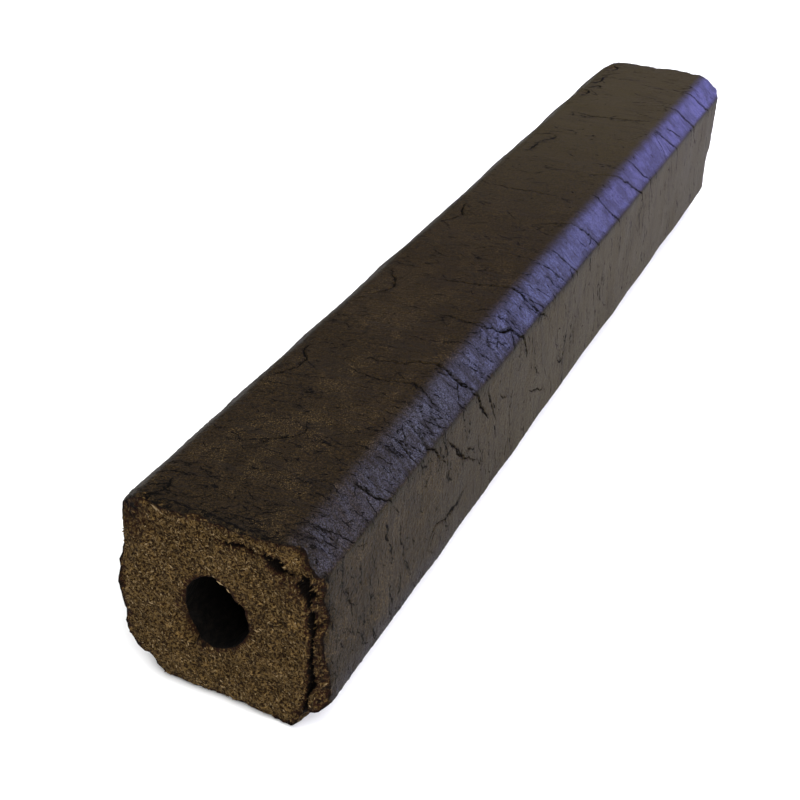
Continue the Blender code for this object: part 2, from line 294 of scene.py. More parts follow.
skin_outward[..., 1:] = row_outward[:, None]

# The skin sinks a little from the die's flats and wears back at both rims. The base keeps its flats,
# because the bar lies on them.
RIM_WEAR = 0.5
RIM_WEAR_REACH = 1.1

sunk = WAVE * waviness(skin_points) * step(skin_points[..., 2], 0, BASE_FLAT)
to_near, to_far = skin_u - near_rim[:, None], LENGTH - far_rim[:, None] - skin_u
from_rim = np.minimum(to_near, to_far)
uneven_wear = 0.6 + 1.2 * np.abs(grain(skin_points, 2.3, 4.0))
sunk += RIM_WEAR * np.exp(-from_rim / RIM_WEAR_REACH) * uneven_wear


def within(value, rise, fall):
    """Rises smoothly from 0 to 1 over the first range, and back to 0 over the second."""
    return step(value, *rise) * (1 - step(value, *fall))


# Tones from 0 to 1 that the skin's material reads. The cut corner that the camera sees is glazed and
# carries a painted blue reflection that grows along the bar, and its lower edge is dark. A paler tone
# lies on the sides, with a painted sheen that grows towards the far end and also covers the far part
# of the top. The low corner has a little glaze and painted blue reflection near the camera, and the
# far part of the bar is smoother.
TOP_EDGE, SIDE_EDGE, BACK_EDGE = CORNER_PLACES[1], CORNER_PLACES[2], CORNER_PLACES[7]
GLAZE_AND_SHEEN_NEAR = 0.55
GLAZE_AND_SHEEN_GROWS = (2, 60)
LOW_GLAZE_AND_SHEEN = 0.4
LOW_GLAZE_SHEEN_RISE, LOW_GLAZE_SHEEN_FALL = (73, 79), (80, 84)
LOW_GLAZE_SHEEN_FADES = (30, 90)
DARK_EDGE_BELOW = 0.6
DARK_EDGE_REACH = 1.3
SIDE_PALE_NEAR = 0.12
SIDE_SHEEN_GROWS = (5, 125)
TOP_SHEEN_MOST = 0.95
TOP_SHEEN_GROWS = (110, 280)
SMOOTHER = (30, 230)

smooth_tone = step(skin_u, *SMOOTHER)
# The glazed corner's tone, which also carries a painted blue reflection that grows along the bar.
glaze_tone = within(skin_s, (TOP_EDGE - 3.0, TOP_EDGE + 3.0), (SIDE_EDGE - 1.8, SIDE_EDGE + 0.2))
glaze_tone *= GLAZE_AND_SHEEN_NEAR + (1 - GLAZE_AND_SHEEN_NEAR) * step(skin_u, *GLAZE_AND_SHEEN_GROWS)
# The low corner's glaze, with a painted blue reflection near the camera.
low_glaze = LOW_GLAZE_AND_SHEEN * within(skin_s, LOW_GLAZE_SHEEN_RISE, LOW_GLAZE_SHEEN_FALL)
glaze_tone = np.maximum(glaze_tone, low_glaze * (1 - step(skin_u, *LOW_GLAZE_SHEEN_FADES)))
from_edge = np.abs(skin_s - SIDE_EDGE - DARK_EDGE_BELOW)
edge_patches = np.clip(0.7 + 0.9 * grain(skin_points, 3.0, 8.0), 0, 1)
edge_tone = np.exp(-((from_edge / DARK_EDGE_REACH) ** 2)) * edge_patches
on_side = within(skin_s, (SIDE_EDGE - 0.3, SIDE_EDGE + 1.5), (BACK_EDGE - 2, BACK_EDGE + 1))
# A paler tone on the sides, with a painted sheen that grows towards the far end, on the top as well.
side_ash = SIDE_PALE_NEAR + (1 - SIDE_PALE_NEAR) * step(skin_u, *SIDE_SHEEN_GROWS)
ash_tone = on_side * side_ash + (1 - on_side) * TOP_SHEEN_MOST * step(skin_u, *TOP_SHEEN_GROWS)

# Fine relief of the skin, as (depth, more of it on the glaze, how much of it the smoother part lacks,
# reach along and across, seed).
RELIEF = (
    (0.06, 0.05, 0.6, (1.4, 5.0, 5.0), 9.0),
    (0.06, 0.04, 0.6, (0.75, 1.8, 1.8), 2.0),
    (0.08, 0.00, 0.6, (0.55, 0.6, 0.6), 22.0),
    (0.10, 0.00, 0.0, (7.0, 13.0, 13.0), 17.0),
)

for depth, more, lacking, reach, seed in RELIEF:
    rough = (depth + more * glaze_tone) * (1 - lacking * smooth_tone)
    sunk += rough * (1 + grain(skin_points, reach, seed))

# Cracks that the photograph shows, as (width, depth, route of (u, s) points). The hidden sides have
# cracks of the same kind, each side given as its start and its reach in s.
CRACKS = (
    (1.0, 1.6, ((25, 13), (29, 15), (31, 18), (34, 19.5), (38, 18))),
    (1.2, 1.8, ((50, 1), (54, 4), (60, 5.5), (64, 2.5), (68, 3))),
    (1.2, 1.8, ((62, 15), (60, 25), (62, 31), (60, 37), (61, 45))),
    (1.8, 2.6, ((67, 16), (68.5, 25), (71, 32), (71.5, 40), (76, 50), (82, 58))),
    (1.6, 2.4, ((47, 37), (49.5, 41), (49, 45), (54, 52))),
    (0.9, 1.4, ((41, 35), (42, 41), (43, 46))),
    (1.4, 2.0, ((24, 37), (27, 43), (30, 48))),
    (0.9, 1.4, ((9, 37), (12, 42), (14, 47))),
    (0.9, 1.4, ((9, 54), (11, 59), (12, 64))),
    (1.0, 1.6, ((56, 48), (61, 53), (66, 59), (76, 66))),
    (0.5, 1.6, ((47, 73), (51, 69), (60, 71), (71, 70))),
    (1.0, 1.5, ((93, 24), (93, 31), (94, 36))),
    (1.8, 2.6, ((92, 34), (96, 40), (101, 42), (103, 46), (108, 53))),
    (1.5, 2.2, ((110, 16), (113, 29), (115, 38), (117, 45), (123, 51))),
    (1.0, 1.5, ((130, 34), (134, 41), (136, 47))),
    (0.9, 1.4, ((140, 36), (142, 43), (144, 49))),
    (1.2, 1.8, ((95, 3), (99, 7), (104, 6), (111, 2))),
    (1.1, 1.6, ((81, 48), (84, 56), (86, 60))),
    (1.0, 1.5, ((110, 66), (116, 69), (123, 72))),
    (1.1, 1.7, ((144, 2), (149, 5), (158, 3))),
    (1.0, 1.5, ((173, 4), (174, 15), (174, 26))),
    (1.3, 1.9, ((154, 28), (157, 34), (161, 42), (163, 50))),
    (1.1, 1.6, ((180, 34), (179.5, 42), (182, 49))),
    (1.4, 2.0, ((193, 28), (196, 34), (202, 44), (208, 51))),
    (1.1, 1.6, ((211, 34), (212, 41), (216, 50))),
    (1.1, 1.6, ((239, 36), (242, 42), (247, 50))),
    (1.1, 1.6, ((245, 5), (244, 18), (247, 33))),
    (1.2, 1.8, ((262, 32), (265, 42), (270, 52))),
    (1.1, 1.6, ((281, 33), (284, 42), (288, 50))),
)
HIDDEN_SEED = 23
HIDDEN_STEP = 16.0
HIDDEN_SIDES = ((84.0, 28.0), (103.0, 28.0), (131.0, 26.0), (152.0, 26.0))
LINE_STEP = 0.22

# A torn line strays from its route by the sum of these, as (share, reach, seed).
STRAYING = ((1.0, 4.1, 0), (0.6, 1.3, 5), (0.4, 0.6, 9))


def hidden_cracks():
    """Cracks of the same kind for the base and the -Y side, spaced and bent at random."""
    draw = random.Random(HIDDEN_SEED)
    found = []
    for start, reach in HIDDEN_SIDES:
        u = draw.uniform(8, HIDDEN_STEP)
        while u < LENGTH - 12:
            length = reach * draw.uniform(0.35, 0.8)
            s = start + draw.uniform(0, reach - length)
            lean = draw.uniform(-0.15, 0.35)
            bend = draw.uniform(-3, 3)
            middle = (u + lean * length / 2 + bend, s + length / 2)
            route = ((u, s), middle, (u + lean * length, s + length))
            found.append((draw.uniform(0.9, 1.5), draw.uniform(1.4, 2.2), route))
            u += HIDDEN_STEP * draw.uniform(0.8, 1.7)
    return found


def ragged_line(route, seed, wander):
    """Points a short step apart on a smooth curve through the route, shaken as torn fibres are."""
    ends = [2 * np.array(route[0]) - route[1], 2 * np.array(route[-1]) - route[-2]]
    knots = np.array([ends[0], *route, ends[1]], float)
    line = []
    for k in range(1, len(knots) - 2):
        before, here, after, beyond = knots[k - 1 : k + 3]
        count = max(2, math.ceil(math.dist(here, after) / LINE_STEP))
        t = np.linspace(0, 1, count, endpoint=k == len(knots) - 3)[:, None]
        bend = (2 * before - 5 * here + 4 * after - beyond) * t**2
        bend += (3 * here - before - 3 * after + beyond) * t**3
        line.append(here + 0.5 * ((after - before) * t + bend))
    line = np.concatenate(line)
    places = np.column_stack([line, np.full(len(line), seed)])
    for axis in (0, 1):
        for share, reach, stray_seed in STRAYING:
            line[:, axis] += wander * share * grain(places, reach, stray_seed + axis)
    return line


# How a crack is cut. Half its black line is this share of the crack's width, and swells and shrinks
# between two limits. The groove round it is wider, and on a coarse grid it is a cell wide. One side
# stands lower, and a lip rises beside the groove. The black line and the darkening beside it are
# painted shade of the crack's deep opening.
LINE_SHARE = 0.13
LINE_LEAST, LINE_MOST = 0.05, 2.2
LINE_PATCH = 1.1
GROOVE_WIDER = 1.7
GROOVE_CELLS = 0.95
GROOVE_SHARE = 0.8
GROOVE_PATCH = 3.3
LEDGE_REACH = 3.5
LIP_SHARE = 0.03
LIP_PLACE = 1.6
PAINTED_SHADE_MOST = 0.7
PAINTED_SHADE_REACH = 0.8
WINDOW_MARGIN = 4.0

crack_side = np.full(skin_u.shape, 9.0)
crack_width = np.zeros(skin_u.shape)
crack_shade = np.zeros(skin_u.shape)


def carve(route, width, depth, seed, wander, ledge, painted_shade, broken=1.5):
    """Opens a crack along the route: a ragged black line of painted shade in a groove that has one side a
    little lower, with painted shade beside it. Each point of the grid keeps how far it lies to one side
    of the nearest line, and the line's width."""
    line = ragged_line(route, seed, wander)
    places = np.column_stack([line, np.full(len(line), seed)])
    fade = np.sin(math.pi * np.linspace(0, 1, len(line))) ** 0.5
    swell = np.clip(1 + broken * grain(places, LINE_PATCH, 3.0), LINE_LEAST, LINE_MOST)
    half = LINE_SHARE * width * fade * swell
    cell = float(cell_at(np.clip(line[:, 0].mean(), 0, LENGTH)))
    wide = np.maximum(GROOVE_WIDER * half, GROOVE_CELLS * cell)
    deep = GROOVE_SHARE * depth * fade * np.minimum(1, 2.2 * half / wide)
    deep *= 1 + 0.35 * grain(places, GROOVE_PATCH, 8.0)
    tangent = np.gradient(line, axis=0)
    tangent /= np.linalg.norm(tangent, axis=1)[:, None]
    kept = 1.5 * max(cell, CELL_ROUND_SEEN) + 0.3
    for turn in (0.0, -GIRTH):
        low = line.min(0) + (0, turn) - WINDOW_MARGIN
        high = line.max(0) + (0, turn) + WINDOW_MARGIN
        rows = np.flatnonzero((row_s > low[1]) & (row_s < high[1]))
        if not len(rows):
            continue
        middle = skin_u[rows[len(rows) // 2]]
        start, stop = np.searchsorted(middle, (low[0] - 2, high[0] + 2))
        window = np.ix_(rows, np.arange(start, min(stop, len(middle))))
        u, s = skin_u[window], skin_s[window]
        offset_u = u[..., None] - line[:, 0]
        offset_s = s[..., None] - line[:, 1] - turn
        nearest = (offset_u**2 + offset_s**2).argmin(-1)
        offset_u = np.take_along_axis(offset_u, nearest[..., None], -1)[..., 0]
        offset_s = np.take_along_axis(offset_s, nearest[..., None], -1)[..., 0]
        away = np.hypot(offset_u, offset_s)
        faded, groove_half = fade[nearest], wide[nearest]
        side = np.sign(tangent[nearest, 0] * offset_s - tangent[nearest, 1] * offset_u)
        groove = deep[nearest] * np.clip(1 - (away / groove_half) ** 2, 0, 1)
        lip = LIP_SHARE * width * faded * np.exp(-((away / groove_half - LIP_PLACE) ** 2))
        lower = ledge * faded * (side < 0) * np.exp(-away / LEDGE_REACH) * (away > groove_half)
        sunk[window] = np.maximum(sunk[window] + lower - lip, np.maximum(sunk[window], groove))
        # Painted shade beside the crack.
        shade = min(PAINTED_SHADE_MOST, painted_shade * depth) * faded * np.exp(-((away / (PAINTED_SHADE_REACH * groove_half)) ** 2))
        crack_shade[window] = np.maximum(crack_shade[window], shade)
        closer = (away < kept) & (away < np.abs(crack_side[window]))
        crack_side[window] = np.where(closer, away * side, crack_side[window])
        crack_width[window] = np.where(closer, half[nearest], crack_width[window])


large_cracks = [*CRACKS, *hidden_cracks()]
for k, (width, depth, route) in enumerate(large_cracks):
    carve(route, 1.2 * width, depth, 3.7 * k, wander=0.8, ledge=0.12, painted_shade=0.8, broken=0.7)

# Smaller cracks that the photograph shows beside them, as (width, depth, route), and those of its
# right side, as (width, route), which are all of one depth.
SMALL_CRACKS = (
    (0.9, 0.8, ((67, 8), (70, 12))),
    (0.8, 0.8, ((100, 37), (102, 40), (101.5, 44))),
    (0.9, 0.9, ((82, 50), (84, 56), (85, 57))),
    (0.9, 0.9, ((88, 54), (91, 57), (94, 58))),
    (1.0, 0.9, ((132, 67), (136, 71), (140, 68))),
    (0.7, 0.6, ((82, 30), (83, 35))),
    (1.0, 0.8, ((248, 38), (252, 43), (253, 45))),
    (2.6, 1.3, ((0.8, 2.2), (2.2, 3.4), (4.2, 4.4), (6.1, 4.7), (8.5, 4.2))),
    (2.4, 1.0, ((2.0, 1.0), (2.6, 3.6), (3.2, 6.0))),
    (1.6, 0.9, ((5.8, 2.5), (6.4, 4.6), (6.2, 7.0))),
    (1.3, 0.8, ((1.6, 5.5), (2.4, 9), (1.9, 12), (2.6, 15))),
    (1.6, 0.9, ((2.1, 15), (1.9, 18), (1.5, 22), (1.2, 25), (1.6, 29))),
    (1.1, 0.7, ((3.6, 19), (4.4, 23), (4.0, 27))),
    (2.8, 0.9, ((293, 3.5), (296, 5), (299, 3))),
    (2.8, 0.9, ((276, 1.5), (280, 3.5), (285, 3))),
    (2.6, 0.9, ((271, 2), (274, 4.5), (272, 6))),
    (2.8, 0.9, ((262, 2.5), (265, 4), (268, 3))),
    (1.6, 0.7, ((214, 5.5), (217, 7.5), (220, 8.5))),
    (1.6, 0.7, ((203, 4.5), (208, 5), (213, 5.5))),
    (1.2, 0.8, ((7, 66), (8.5, 69))),
)
SIDE_CRACKS = (
    (1.2, ((76.3, 49.1), (78, 53.4), (82.1, 56.7))),
    (1.0, ((84.4, 54.9), (85.9, 56.9))),
    (1.4, ((58, 49.4), (62.8, 54.3), (66.1, 59.1), (67, 63.2))),
    (1.1, ((53.1, 47.9), (54.3, 50.8), (56.1, 52.5))),
    (1.0, ((67.7, 57.3), (72.8, 61.1), (74.8, 63.5))),
    (1.9, ((67.5, 70.2), (65.8, 69.9), (64.8, 71), (60.1, 70.7), (56.2, 71.5))),
    (1.5, ((51.7, 69.4), (50.1, 71.2), (49.1, 72.8))),
    (1.2, ((26.7, 49.4), (27.6, 52.7), (26.7, 54.1), (29.5, 58.8), (30, 62.5))),
    (1.1, ((33.7, 54.4), (34.3, 56.9), (34.3, 60.2), (35.4, 63.2), (35.7, 66.2))),
    (1.0, ((47.1, 52.9), (46.2, 54.4), (44.7, 55.6))),
    (0.9, ((60.2, 55.9), (58.6, 57.7), (59.4, 61))),
    (0.8, ((43.3, 45.6), (45, 50.4))),
)
SIDE_CRACK_DEPTH = 0.8

for k, (width, depth, route) in enumerate(SMALL_CRACKS):
    carve(route, width, depth, 5.3 * k, wander=0.6, ledge=0.12, painted_shade=0.8, broken=1.1)
for k, (width, route) in enumerate(SIDE_CRACKS):
    carve(route, width, SIDE_CRACK_DEPTH, 7.1 * k, wander=0.5, ledge=0.03, painted_shade=0.5, broken=2.2)

# Finer cracks in between, at random places: long faint wrinkles and short scratches everywhere, open
# slits on the two sides, close wrinkles on the cut corner, and specks.
WRINKLES = 330
SCRATCHES = 1000
SLITS = 420
CORNER_WRINKLES = 55
SPECKS = 900
FORKS = (1, 2, 2, 3)
FINE_SEED = 91
TOP_FACE = (-1, 37)
ALL_SEEN = (-1, 84)
WHOLE_TURN = (0, GIRTH)
RIGHT_SIDE = (44, 84)
LEFT_SIDE = (134, 176)
CUT_CORNER = (34.5, 41)

draw = random.Random(FINE_SEED)


def from_one_of(ranges):
    """A random value from one of the ranges, each as likely as the next."""
    if len(ranges) == 1:
        return draw.uniform(*ranges[0])
    return draw.choice([draw.uniform(*each) for each in ranges])


def scatter(
    count, crowding, rounds, lengths, lean, widths, depths, seed, wander, ledge, painted_shade,
    broken=1.5, bend=0.0, start=0.0, reach=LENGTH,
):
    """Carves this many cracks. A crowding above 1 draws them towards the near end. Each runs round the
    bar for its length from a place in rounds, and leans along it by (mean, spread) as it goes. The
    depths are a range or the one depth of all."""
    for k in range(count):
        u, s = start + reach * draw.random() ** crowding, from_one_of(rounds)
        length = from_one_of(lengths)
        leaning = draw.gauss(*lean) * length
        route = [(u, s), (u + leaning, s + length)]
        if bend:
            route.insert(1, (u + leaning / 2 + draw.gauss(0, bend), s + length / 2))
        width = draw.uniform(*widths)
        depth = draw.uniform(*depths) if isinstance(depths, tuple) else depths
        carve(route, width, depth, seed * k, wander, ledge, painted_shade, broken)


scatter(
    WRINKLES, crowding=2.0, start=3, reach=LENGTH - 9, rounds=[WHOLE_TURN], lengths=[(4, 15)],
    lean=(0.14, 0.16), bend=0.8, widths=(0.3, 0.8), depths=(0.1, 0.3),
    seed=1.9, wander=0.7, ledge=0.05, painted_shade=0.3,
)
scatter(
    SCRATCHES, crowding=2.2, rounds=[TOP_FACE, ALL_SEEN], lengths=[(0.6, 2.2), (1.5, 6)],
    lean=(0.15, 0.45), widths=(0.4, 1.0), depths=(0.05, 0.2),
    seed=1.3, wander=0.7, ledge=0.02, painted_shade=0.1, broken=1.0,
)
scatter(
    SLITS, crowding=1.2, rounds=[RIGHT_SIDE, LEFT_SIDE], lengths=[(2.0, 11.0)],
    lean=(0.19, 0.13), widths=(0.4, 1.0), depths=(0.2, 0.5),
    seed=2.3, wander=0.8, ledge=0.04, painted_shade=0.3, broken=2.2,
)
scatter(
    CORNER_WRINKLES, crowding=1.0, reach=130, rounds=[CUT_CORNER], lengths=[(3.0, 10.0)],
    lean=(0.45, 0.15), widths=(0.4, 0.9), depths=(0.1, 0.35),
    seed=2.9, wander=0.8, ledge=0.05, painted_shade=0.35,
)
scatter(
    SPECKS, crowding=1.4, rounds=[WHOLE_TURN], lengths=[(0.3, 1.1)],
    lean=(0.2, 0.5), widths=(0.5, 1.3), depths=0.2,
    seed=4.1, wander=0.3, ledge=0.0, painted_shade=0.2,
)

# A branch or two leaves each of the large cracks.
for width, depth, route in large_cracks:
    for fork in range(draw.choice(FORKS)):
        u, s = draw.choice(route)
        length = draw.uniform(2.5, 7)
        turn = draw.choice((-1, 1)) * draw.uniform(0.5, 1.2)
        end = (u + length * math.sin(turn), s + length * math.cos(turn))
        seed = draw.uniform(0, 90)
        carve(((u, s), end), 0.6 * width, 0.5 * depth, seed, wander=0.5, ledge=0.04, painted_shade=0.6)

# Bits that have broken out of the edges, as (u, y, z, length, width, height), and small ones that are
# missing from both rims. The wood shows torn and unburnt inside them.
CHIPS = (
    (0, -22, 46, 7, 9, 8),
    (0, -15.5, 49.5, 6, 3.6, 4),
    (0, -8, 17.5, 9, 6, 9),
    (1, 2, 51, 5, 7, 3),
    (0, 21, 3, 8, 9, 8),
    (0, -21, 3, 6, 8, 7),
    (56, -18.5, 50, 7, 3, 3),
    (148, -18.5, 50, 9, 3, 2.4),
    (265, -15.5, 50.2, 9, 5.0, 1.8),
    (280, -16.0, 50.2, 11, 6.0, 2.0),
    (296, -14.6, 50.2, 9, 6.0, 1.8),
    (268, -19, 49.5, 12, 3.5, 3.4),
    (304, -22, 45, 10, 10, 9),
    (306, 20, 46, 3, 5, 4),
)
RIM_SEED = 11
RIM_CHIPS = 13
RIM_LEAST = 1.6
RIM_MOST = 3.4
CHIP_SHARE = 0.92
CHIP_ROUGH = 0.22


def all_chips():
    """The photographed chips, and random small ones all round both rims."""
    draw = random.Random(RIM_SEED)
    found = list(CHIPS)
    for u in (0.0, LENGTH):
        for k in range(RIM_CHIPS):
            y, z = sharp_section(GIRTH * (k + draw.uniform(0.2, 0.8)) / RIM_CHIPS)
            size = [draw.uniform(RIM_LEAST, RIM_MOST) for axis in range(3)]
            found.append((u, y, z, 2 * size[0], size[1], size[2]))
    return found


def push_out_of_chips(points, outward):
    """Moves points that lie in a missing chip back to the face it left, and says how far each went."""
    moved = np.zeros(points.shape[:-1])
    rough = 1 + CHIP_ROUGH * grain(points, 1.7, 6.0)
    for u, y, z, *size in all_chips():
        centre, half = np.array([LENGTH / 2 - u, y, z]), CHIP_SHARE * np.array(size) / 2
        near = np.abs(points - centre).max(-1) < max(size)
        place, way = (points[near] - centre) / half, outward[near] / half
        inside = np.maximum(0, rough[near] - (place**2).sum(-1))
        both, whole = (place * way).sum(-1), (way**2).sum(-1)
        back = np.where(inside > 0, (both + np.sqrt(both**2 + whole * inside)) / whole, 0)
        points[near] -= back[:, None] * outward[near]
        moved[near] += back
    return moved


TIP_REACH = 3.0


def tilted(outward, to_near, to_far):
    """Outward directions that turn towards the end of the bar within reach of it."""
    way = outward.copy()
    way[..., 0] = np.exp(-to_near / TIP_REACH) - np.exp(-to_far / TIP_REACH)
    return way / np.linalg.norm(way, axis=-1)[..., None]


skin_points -= sunk[..., None] * skin_outward
chip_depth = push_out_of_chips(skin_points, tilted(skin_outward, to_near, to_far))
skin_points[..., 2] = np.maximum(skin_points[..., 2], 0)

# Torn wood shows in the chips, most of all near the rims, and in flecks along both rims.
TORN_FULL = 0.35
TORN_AWAY = 0.3
TORN_NEAR_RIM = 5.0
TORN_FADE = 3.0
FLECK_REACH = 0.4
FLECK_ABOVE = 0.25

past_rim = np.maximum(0, from_rim - TORN_NEAR_RIM) / TORN_FADE
torn_tone = np.clip(chip_depth / TORN_FULL, 0, 1) * (TORN_AWAY + (1 - TORN_AWAY) * np.exp(-(past_rim**2)))
torn_flecks = np.exp(-from_rim / FLECK_REACH) * (grain(skin_points, 1.3) > FLECK_ABOVE)
torn_tone = np.maximum(torn_tone, torn_flecks)

# Dark blots, as (u, s, reach_u, reach_s), at the far left edge and on the near rim. Soot and painted
# shade also lie along both rims.
DARK_BLOTS = (
    (294, 2.5, 5.0, 2.0),
    (299, 4.6, 3.5, 1.6),
    (279, 1.8, 4.5, 1.7),
    (285, 3.2, 4.0, 1.6),
    (272, 2.6, 3.0, 1.4),
    (264, 2.6, 3.6, 1.5),
    (218, 7.6, 3.0, 1.6),
    (209, 5.0, 4.0, 1.2),
    (3.0, 2.2, 2.0, 1.6),
    (5.5, 4.2, 2.2, 1.2),
    (1.2, 11.0, 1.2, 2.2),
    (1.6, 15.6, 1.4, 1.8),
    (1.4, 21.0, 1.2, 2.0),
    (1.6, 28.5, 1.4, 2.4),
)
BLOT_DARK = 0.85
RIM_SOOT_AND_SHADE = 0.75
RIM_SOOT_AND_SHADE_REACH = 1.3

blots = np.clip(0.5 + 1.9 * grain(skin_points, 1.5, 19.0), 0, 1)
for u, s, reach_u, reach_s in DARK_BLOTS:
    away = ((skin_u - u) / reach_u) ** 2 + ((skin_s - s) / reach_s) ** 2
    crack_shade = np.maximum(crack_shade, BLOT_DARK * np.exp(-away) * blots)
# Soot with painted shade along both rims.
rim_patches = np.clip(0.6 + 1.4 * grain(skin_points, 1.6, 14.0), 0, 1)
crack_shade = np.maximum(crack_shade, RIM_SOOT_AND_SHADE * np.exp(-from_rim / RIM_SOOT_AND_SHADE_REACH) * rim_patches)


def grid_faces(rows, count, closed):
    """The quads of a grid that has this many columns, for these rows. The last row may join the first."""
    first = np.array(rows[:-1] if not closed else rows)
    second = np.array(rows[1:] if not closed else [*rows[1:], rows[0]])
    k = np.arange(count - 1)
    corners = [first[:, None] * count + k, first[:, None] * count + k + 1]
    corners += [second[:, None] * count + k + 1, second[:, None] * count + k]
    return np.stack(corners, -1).reshape(-1, 4)


def grid_normals(points):
    """The way out of a grid of points that closes round the bar, so that its pieces meet without a seam."""
    along = np.gradient(points, axis=1)
    around = np.roll(points, -1, axis=0) - np.roll(points, 1, axis=0)
    way = np.cross(along, around)
    return way / np.maximum(np.linalg.norm(way, axis=-1), 1e-9)[..., None]


def wooden_piece(name, slot, points, faces, material, smooth=True, normals=None, **tones):
    """Makes one piece of the briquette from points in millimetres, with a value at each point for each
    tone that its material reads."""
    faces = np.asarray(faces)
    used, renumbered = np.unique(faces, return_inverse=True)
    mesh = bpy.data.meshes.new(name)
    mesh.from_pydata(points.reshape(-1, 3)[used] * 0.001, [], renumbered.reshape(faces.shape))
    for tone, values in tones.items():
        made = mesh.attributes.new(tone, "FLOAT", "POINT")
        made.data.foreach_set("value", np.asarray(values, np.float32).reshape(-1)[used])
    mesh.materials.append(material)
    mesh.polygons.foreach_set("use_smooth", [smooth] * len(mesh.polygons))
    if normals is not None:
        mesh.normals_split_custom_set_from_vertices(normals.reshape(-1, 3)[used])
    piece = bpy.data.objects.new(name, mesh)
    bpy.context.scene.collection.objects.link(piece)
    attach(piece, "root")
    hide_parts("briquette")


def plug(tree, node, inputs):
    """Gives a node's inputs their values, or links outputs to them. An input is named as on the node,
    with _ for a space, and a name such as input2 picks it by its number."""
    for key, value in inputs.items():
        by_number = key.startswith("input")
        socket = node.inputs[int(key[5:]) if by_number else key.replace("_", " ")]
        if isinstance(value, bpy.types.NodeSocket):
            tree.links.new(value, socket)
        else:
            socket.default_value = value


def add_node(tree, kind, settings=None, **inputs):
    """Adds a shader node with these settings and inputs."""
    made = tree.nodes.new("ShaderNode" + kind)
    for key, value in (settings or {}).items():
        setattr(made, key, value)
    plug(tree, made, inputs)
    return made


def maths(tree, operation, *values):
    """The result of a sum on these values or outputs."""
    inputs = {f"input{k}": value for k, value in enumerate(values)}
    return add_node(tree, "Math", {"operation": operation}, **inputs).outputs[0]


def times(tree, first, second):
    """One value or output times another."""
    return maths(tree, "MULTIPLY", first, second)


def ramp(tree, value, start, end, low=0.0, high=1.0):
    """Maps value from start..end to low..high, and stops there."""
    made = add_node(
        tree, "MapRange", {"interpolation_type": "SMOOTHSTEP"},
        Value=value, From_Min=start, From_Max=end, To_Min=low, To_Max=high,
    )
    return made.outputs["Result"]


def blend_values(tree, share, first, second):
    """The value between two, by share."""
    made = add_node(tree, "Mix", {"data_type": "FLOAT"}, input0=share, input2=first, input3=second)
    return made.outputs[0]


def layered(tree, colour, *layers):
    """A colour with others laid over it in turn, each given as (share, colour)."""
    for share, over in layers:
        made = add_node(tree, "Mix", {"data_type": "RGBA"}, Factor=share, input6=colour, input7=over)
        colour = made.outputs[2]
    return colour


def scaled_place(tree, reach):
    """The place on the piece, divided by a reach in millimetres along each axis."""
    place = add_node(tree, "TexCoord").outputs["Object"]
    scale = [1000 / r for r in reach]
    return add_node(tree, "VectorMath", {"operation": "MULTIPLY"}, input0=place, input1=scale).outputs[0]


def fibres(tree, reach, detail):
    """Noise in the wood, with a reach in millimetres along each axis."""
    place = scaled_place(tree, reach)
    made = add_node(tree, "TexNoise", None, Vector=place, Scale=1.0, Detail=detail, Roughness=0.6)
    return made.outputs["Fac"]


# Each grain of sawdust has an uneven outline, shaken this far by a noise of this scale, in grains.
SHAKEN = 1.6
SHAKE_SCALE = 0.8


def sawdust(tree, reach, stretch):
    """A random value from 0 to 1 for each grain of pressed sawdust, with this size in millimetres."""
    place = scaled_place(tree, [reach * r for r in stretch])
    shaken = add_node(tree, "TexNoise", None, Vector=place, Scale=SHAKE_SCALE, Detail=2.0)
    moved = add_node(
        tree, "VectorMath", {"operation": "MULTIPLY_ADD"},
        input0=shaken.outputs["Color"], input1=(SHAKEN, SHAKEN, SHAKEN), input2=place,
    )
    grains = add_node(tree, "TexVoronoi", None, Vector=moved.outputs[0], Scale=1.0)
    return add_node(tree, "SeparateColor", None, Color=grains.outputs["Color"]).outputs[0]


def tone_of(tree, name):
    """A value that the mesh carries at each point."""
    return add_node(tree, "Attribute", {"attribute_name": name}).outputs["Fac"]


def new_material(name):
    """A new material with nodes."""
    material = bpy.data.materials.new(name)
    material.use_nodes = True
    return material


def finish_material(material, colour, roughness, shine, bump=None):
    """Connects the surface of a material. Its bump is (height, strength, depth in metres)."""
    tree = material.node_tree
    surface = tree.nodes["Principled BSDF"]
    plug(tree, surface, {"Base Color": colour, "Roughness": roughness, "Specular IOR Level": shine})
    if bump:
        height, strength, depth = bump
        made = add_node(tree, "Bump", None, Strength=strength, Distance=depth, Height=height)
        plug(tree, surface, {"Normal": made.outputs["Normal"]})
    return material


# Torn wood is sawdust, each grain in its own tone from dark to pale, some lying flat and some on end.
# It has paler clumps and darker regions, straws among the palest grains, and dark gaps in between.
FLAT_GRAINS = (0.64, (1.0, 1.8, 0.85))
UPRIGHT_GRAINS = (0.60, (1.0, 0.8, 1.9))
GRAIN_DARK = (0.013, 0.0065, 0.0018, 1)
GRAIN_PALE = (0.192, 0.117, 0.040, 1)
CLUMP = (0.072, 0.047, 0.017, 1)
REGION = (0.022, 0.013, 0.005, 1)
STRAW = (0.21, 0.145, 0.068, 1)
GAP = (0.008, 0.004, 0.0013, 1)


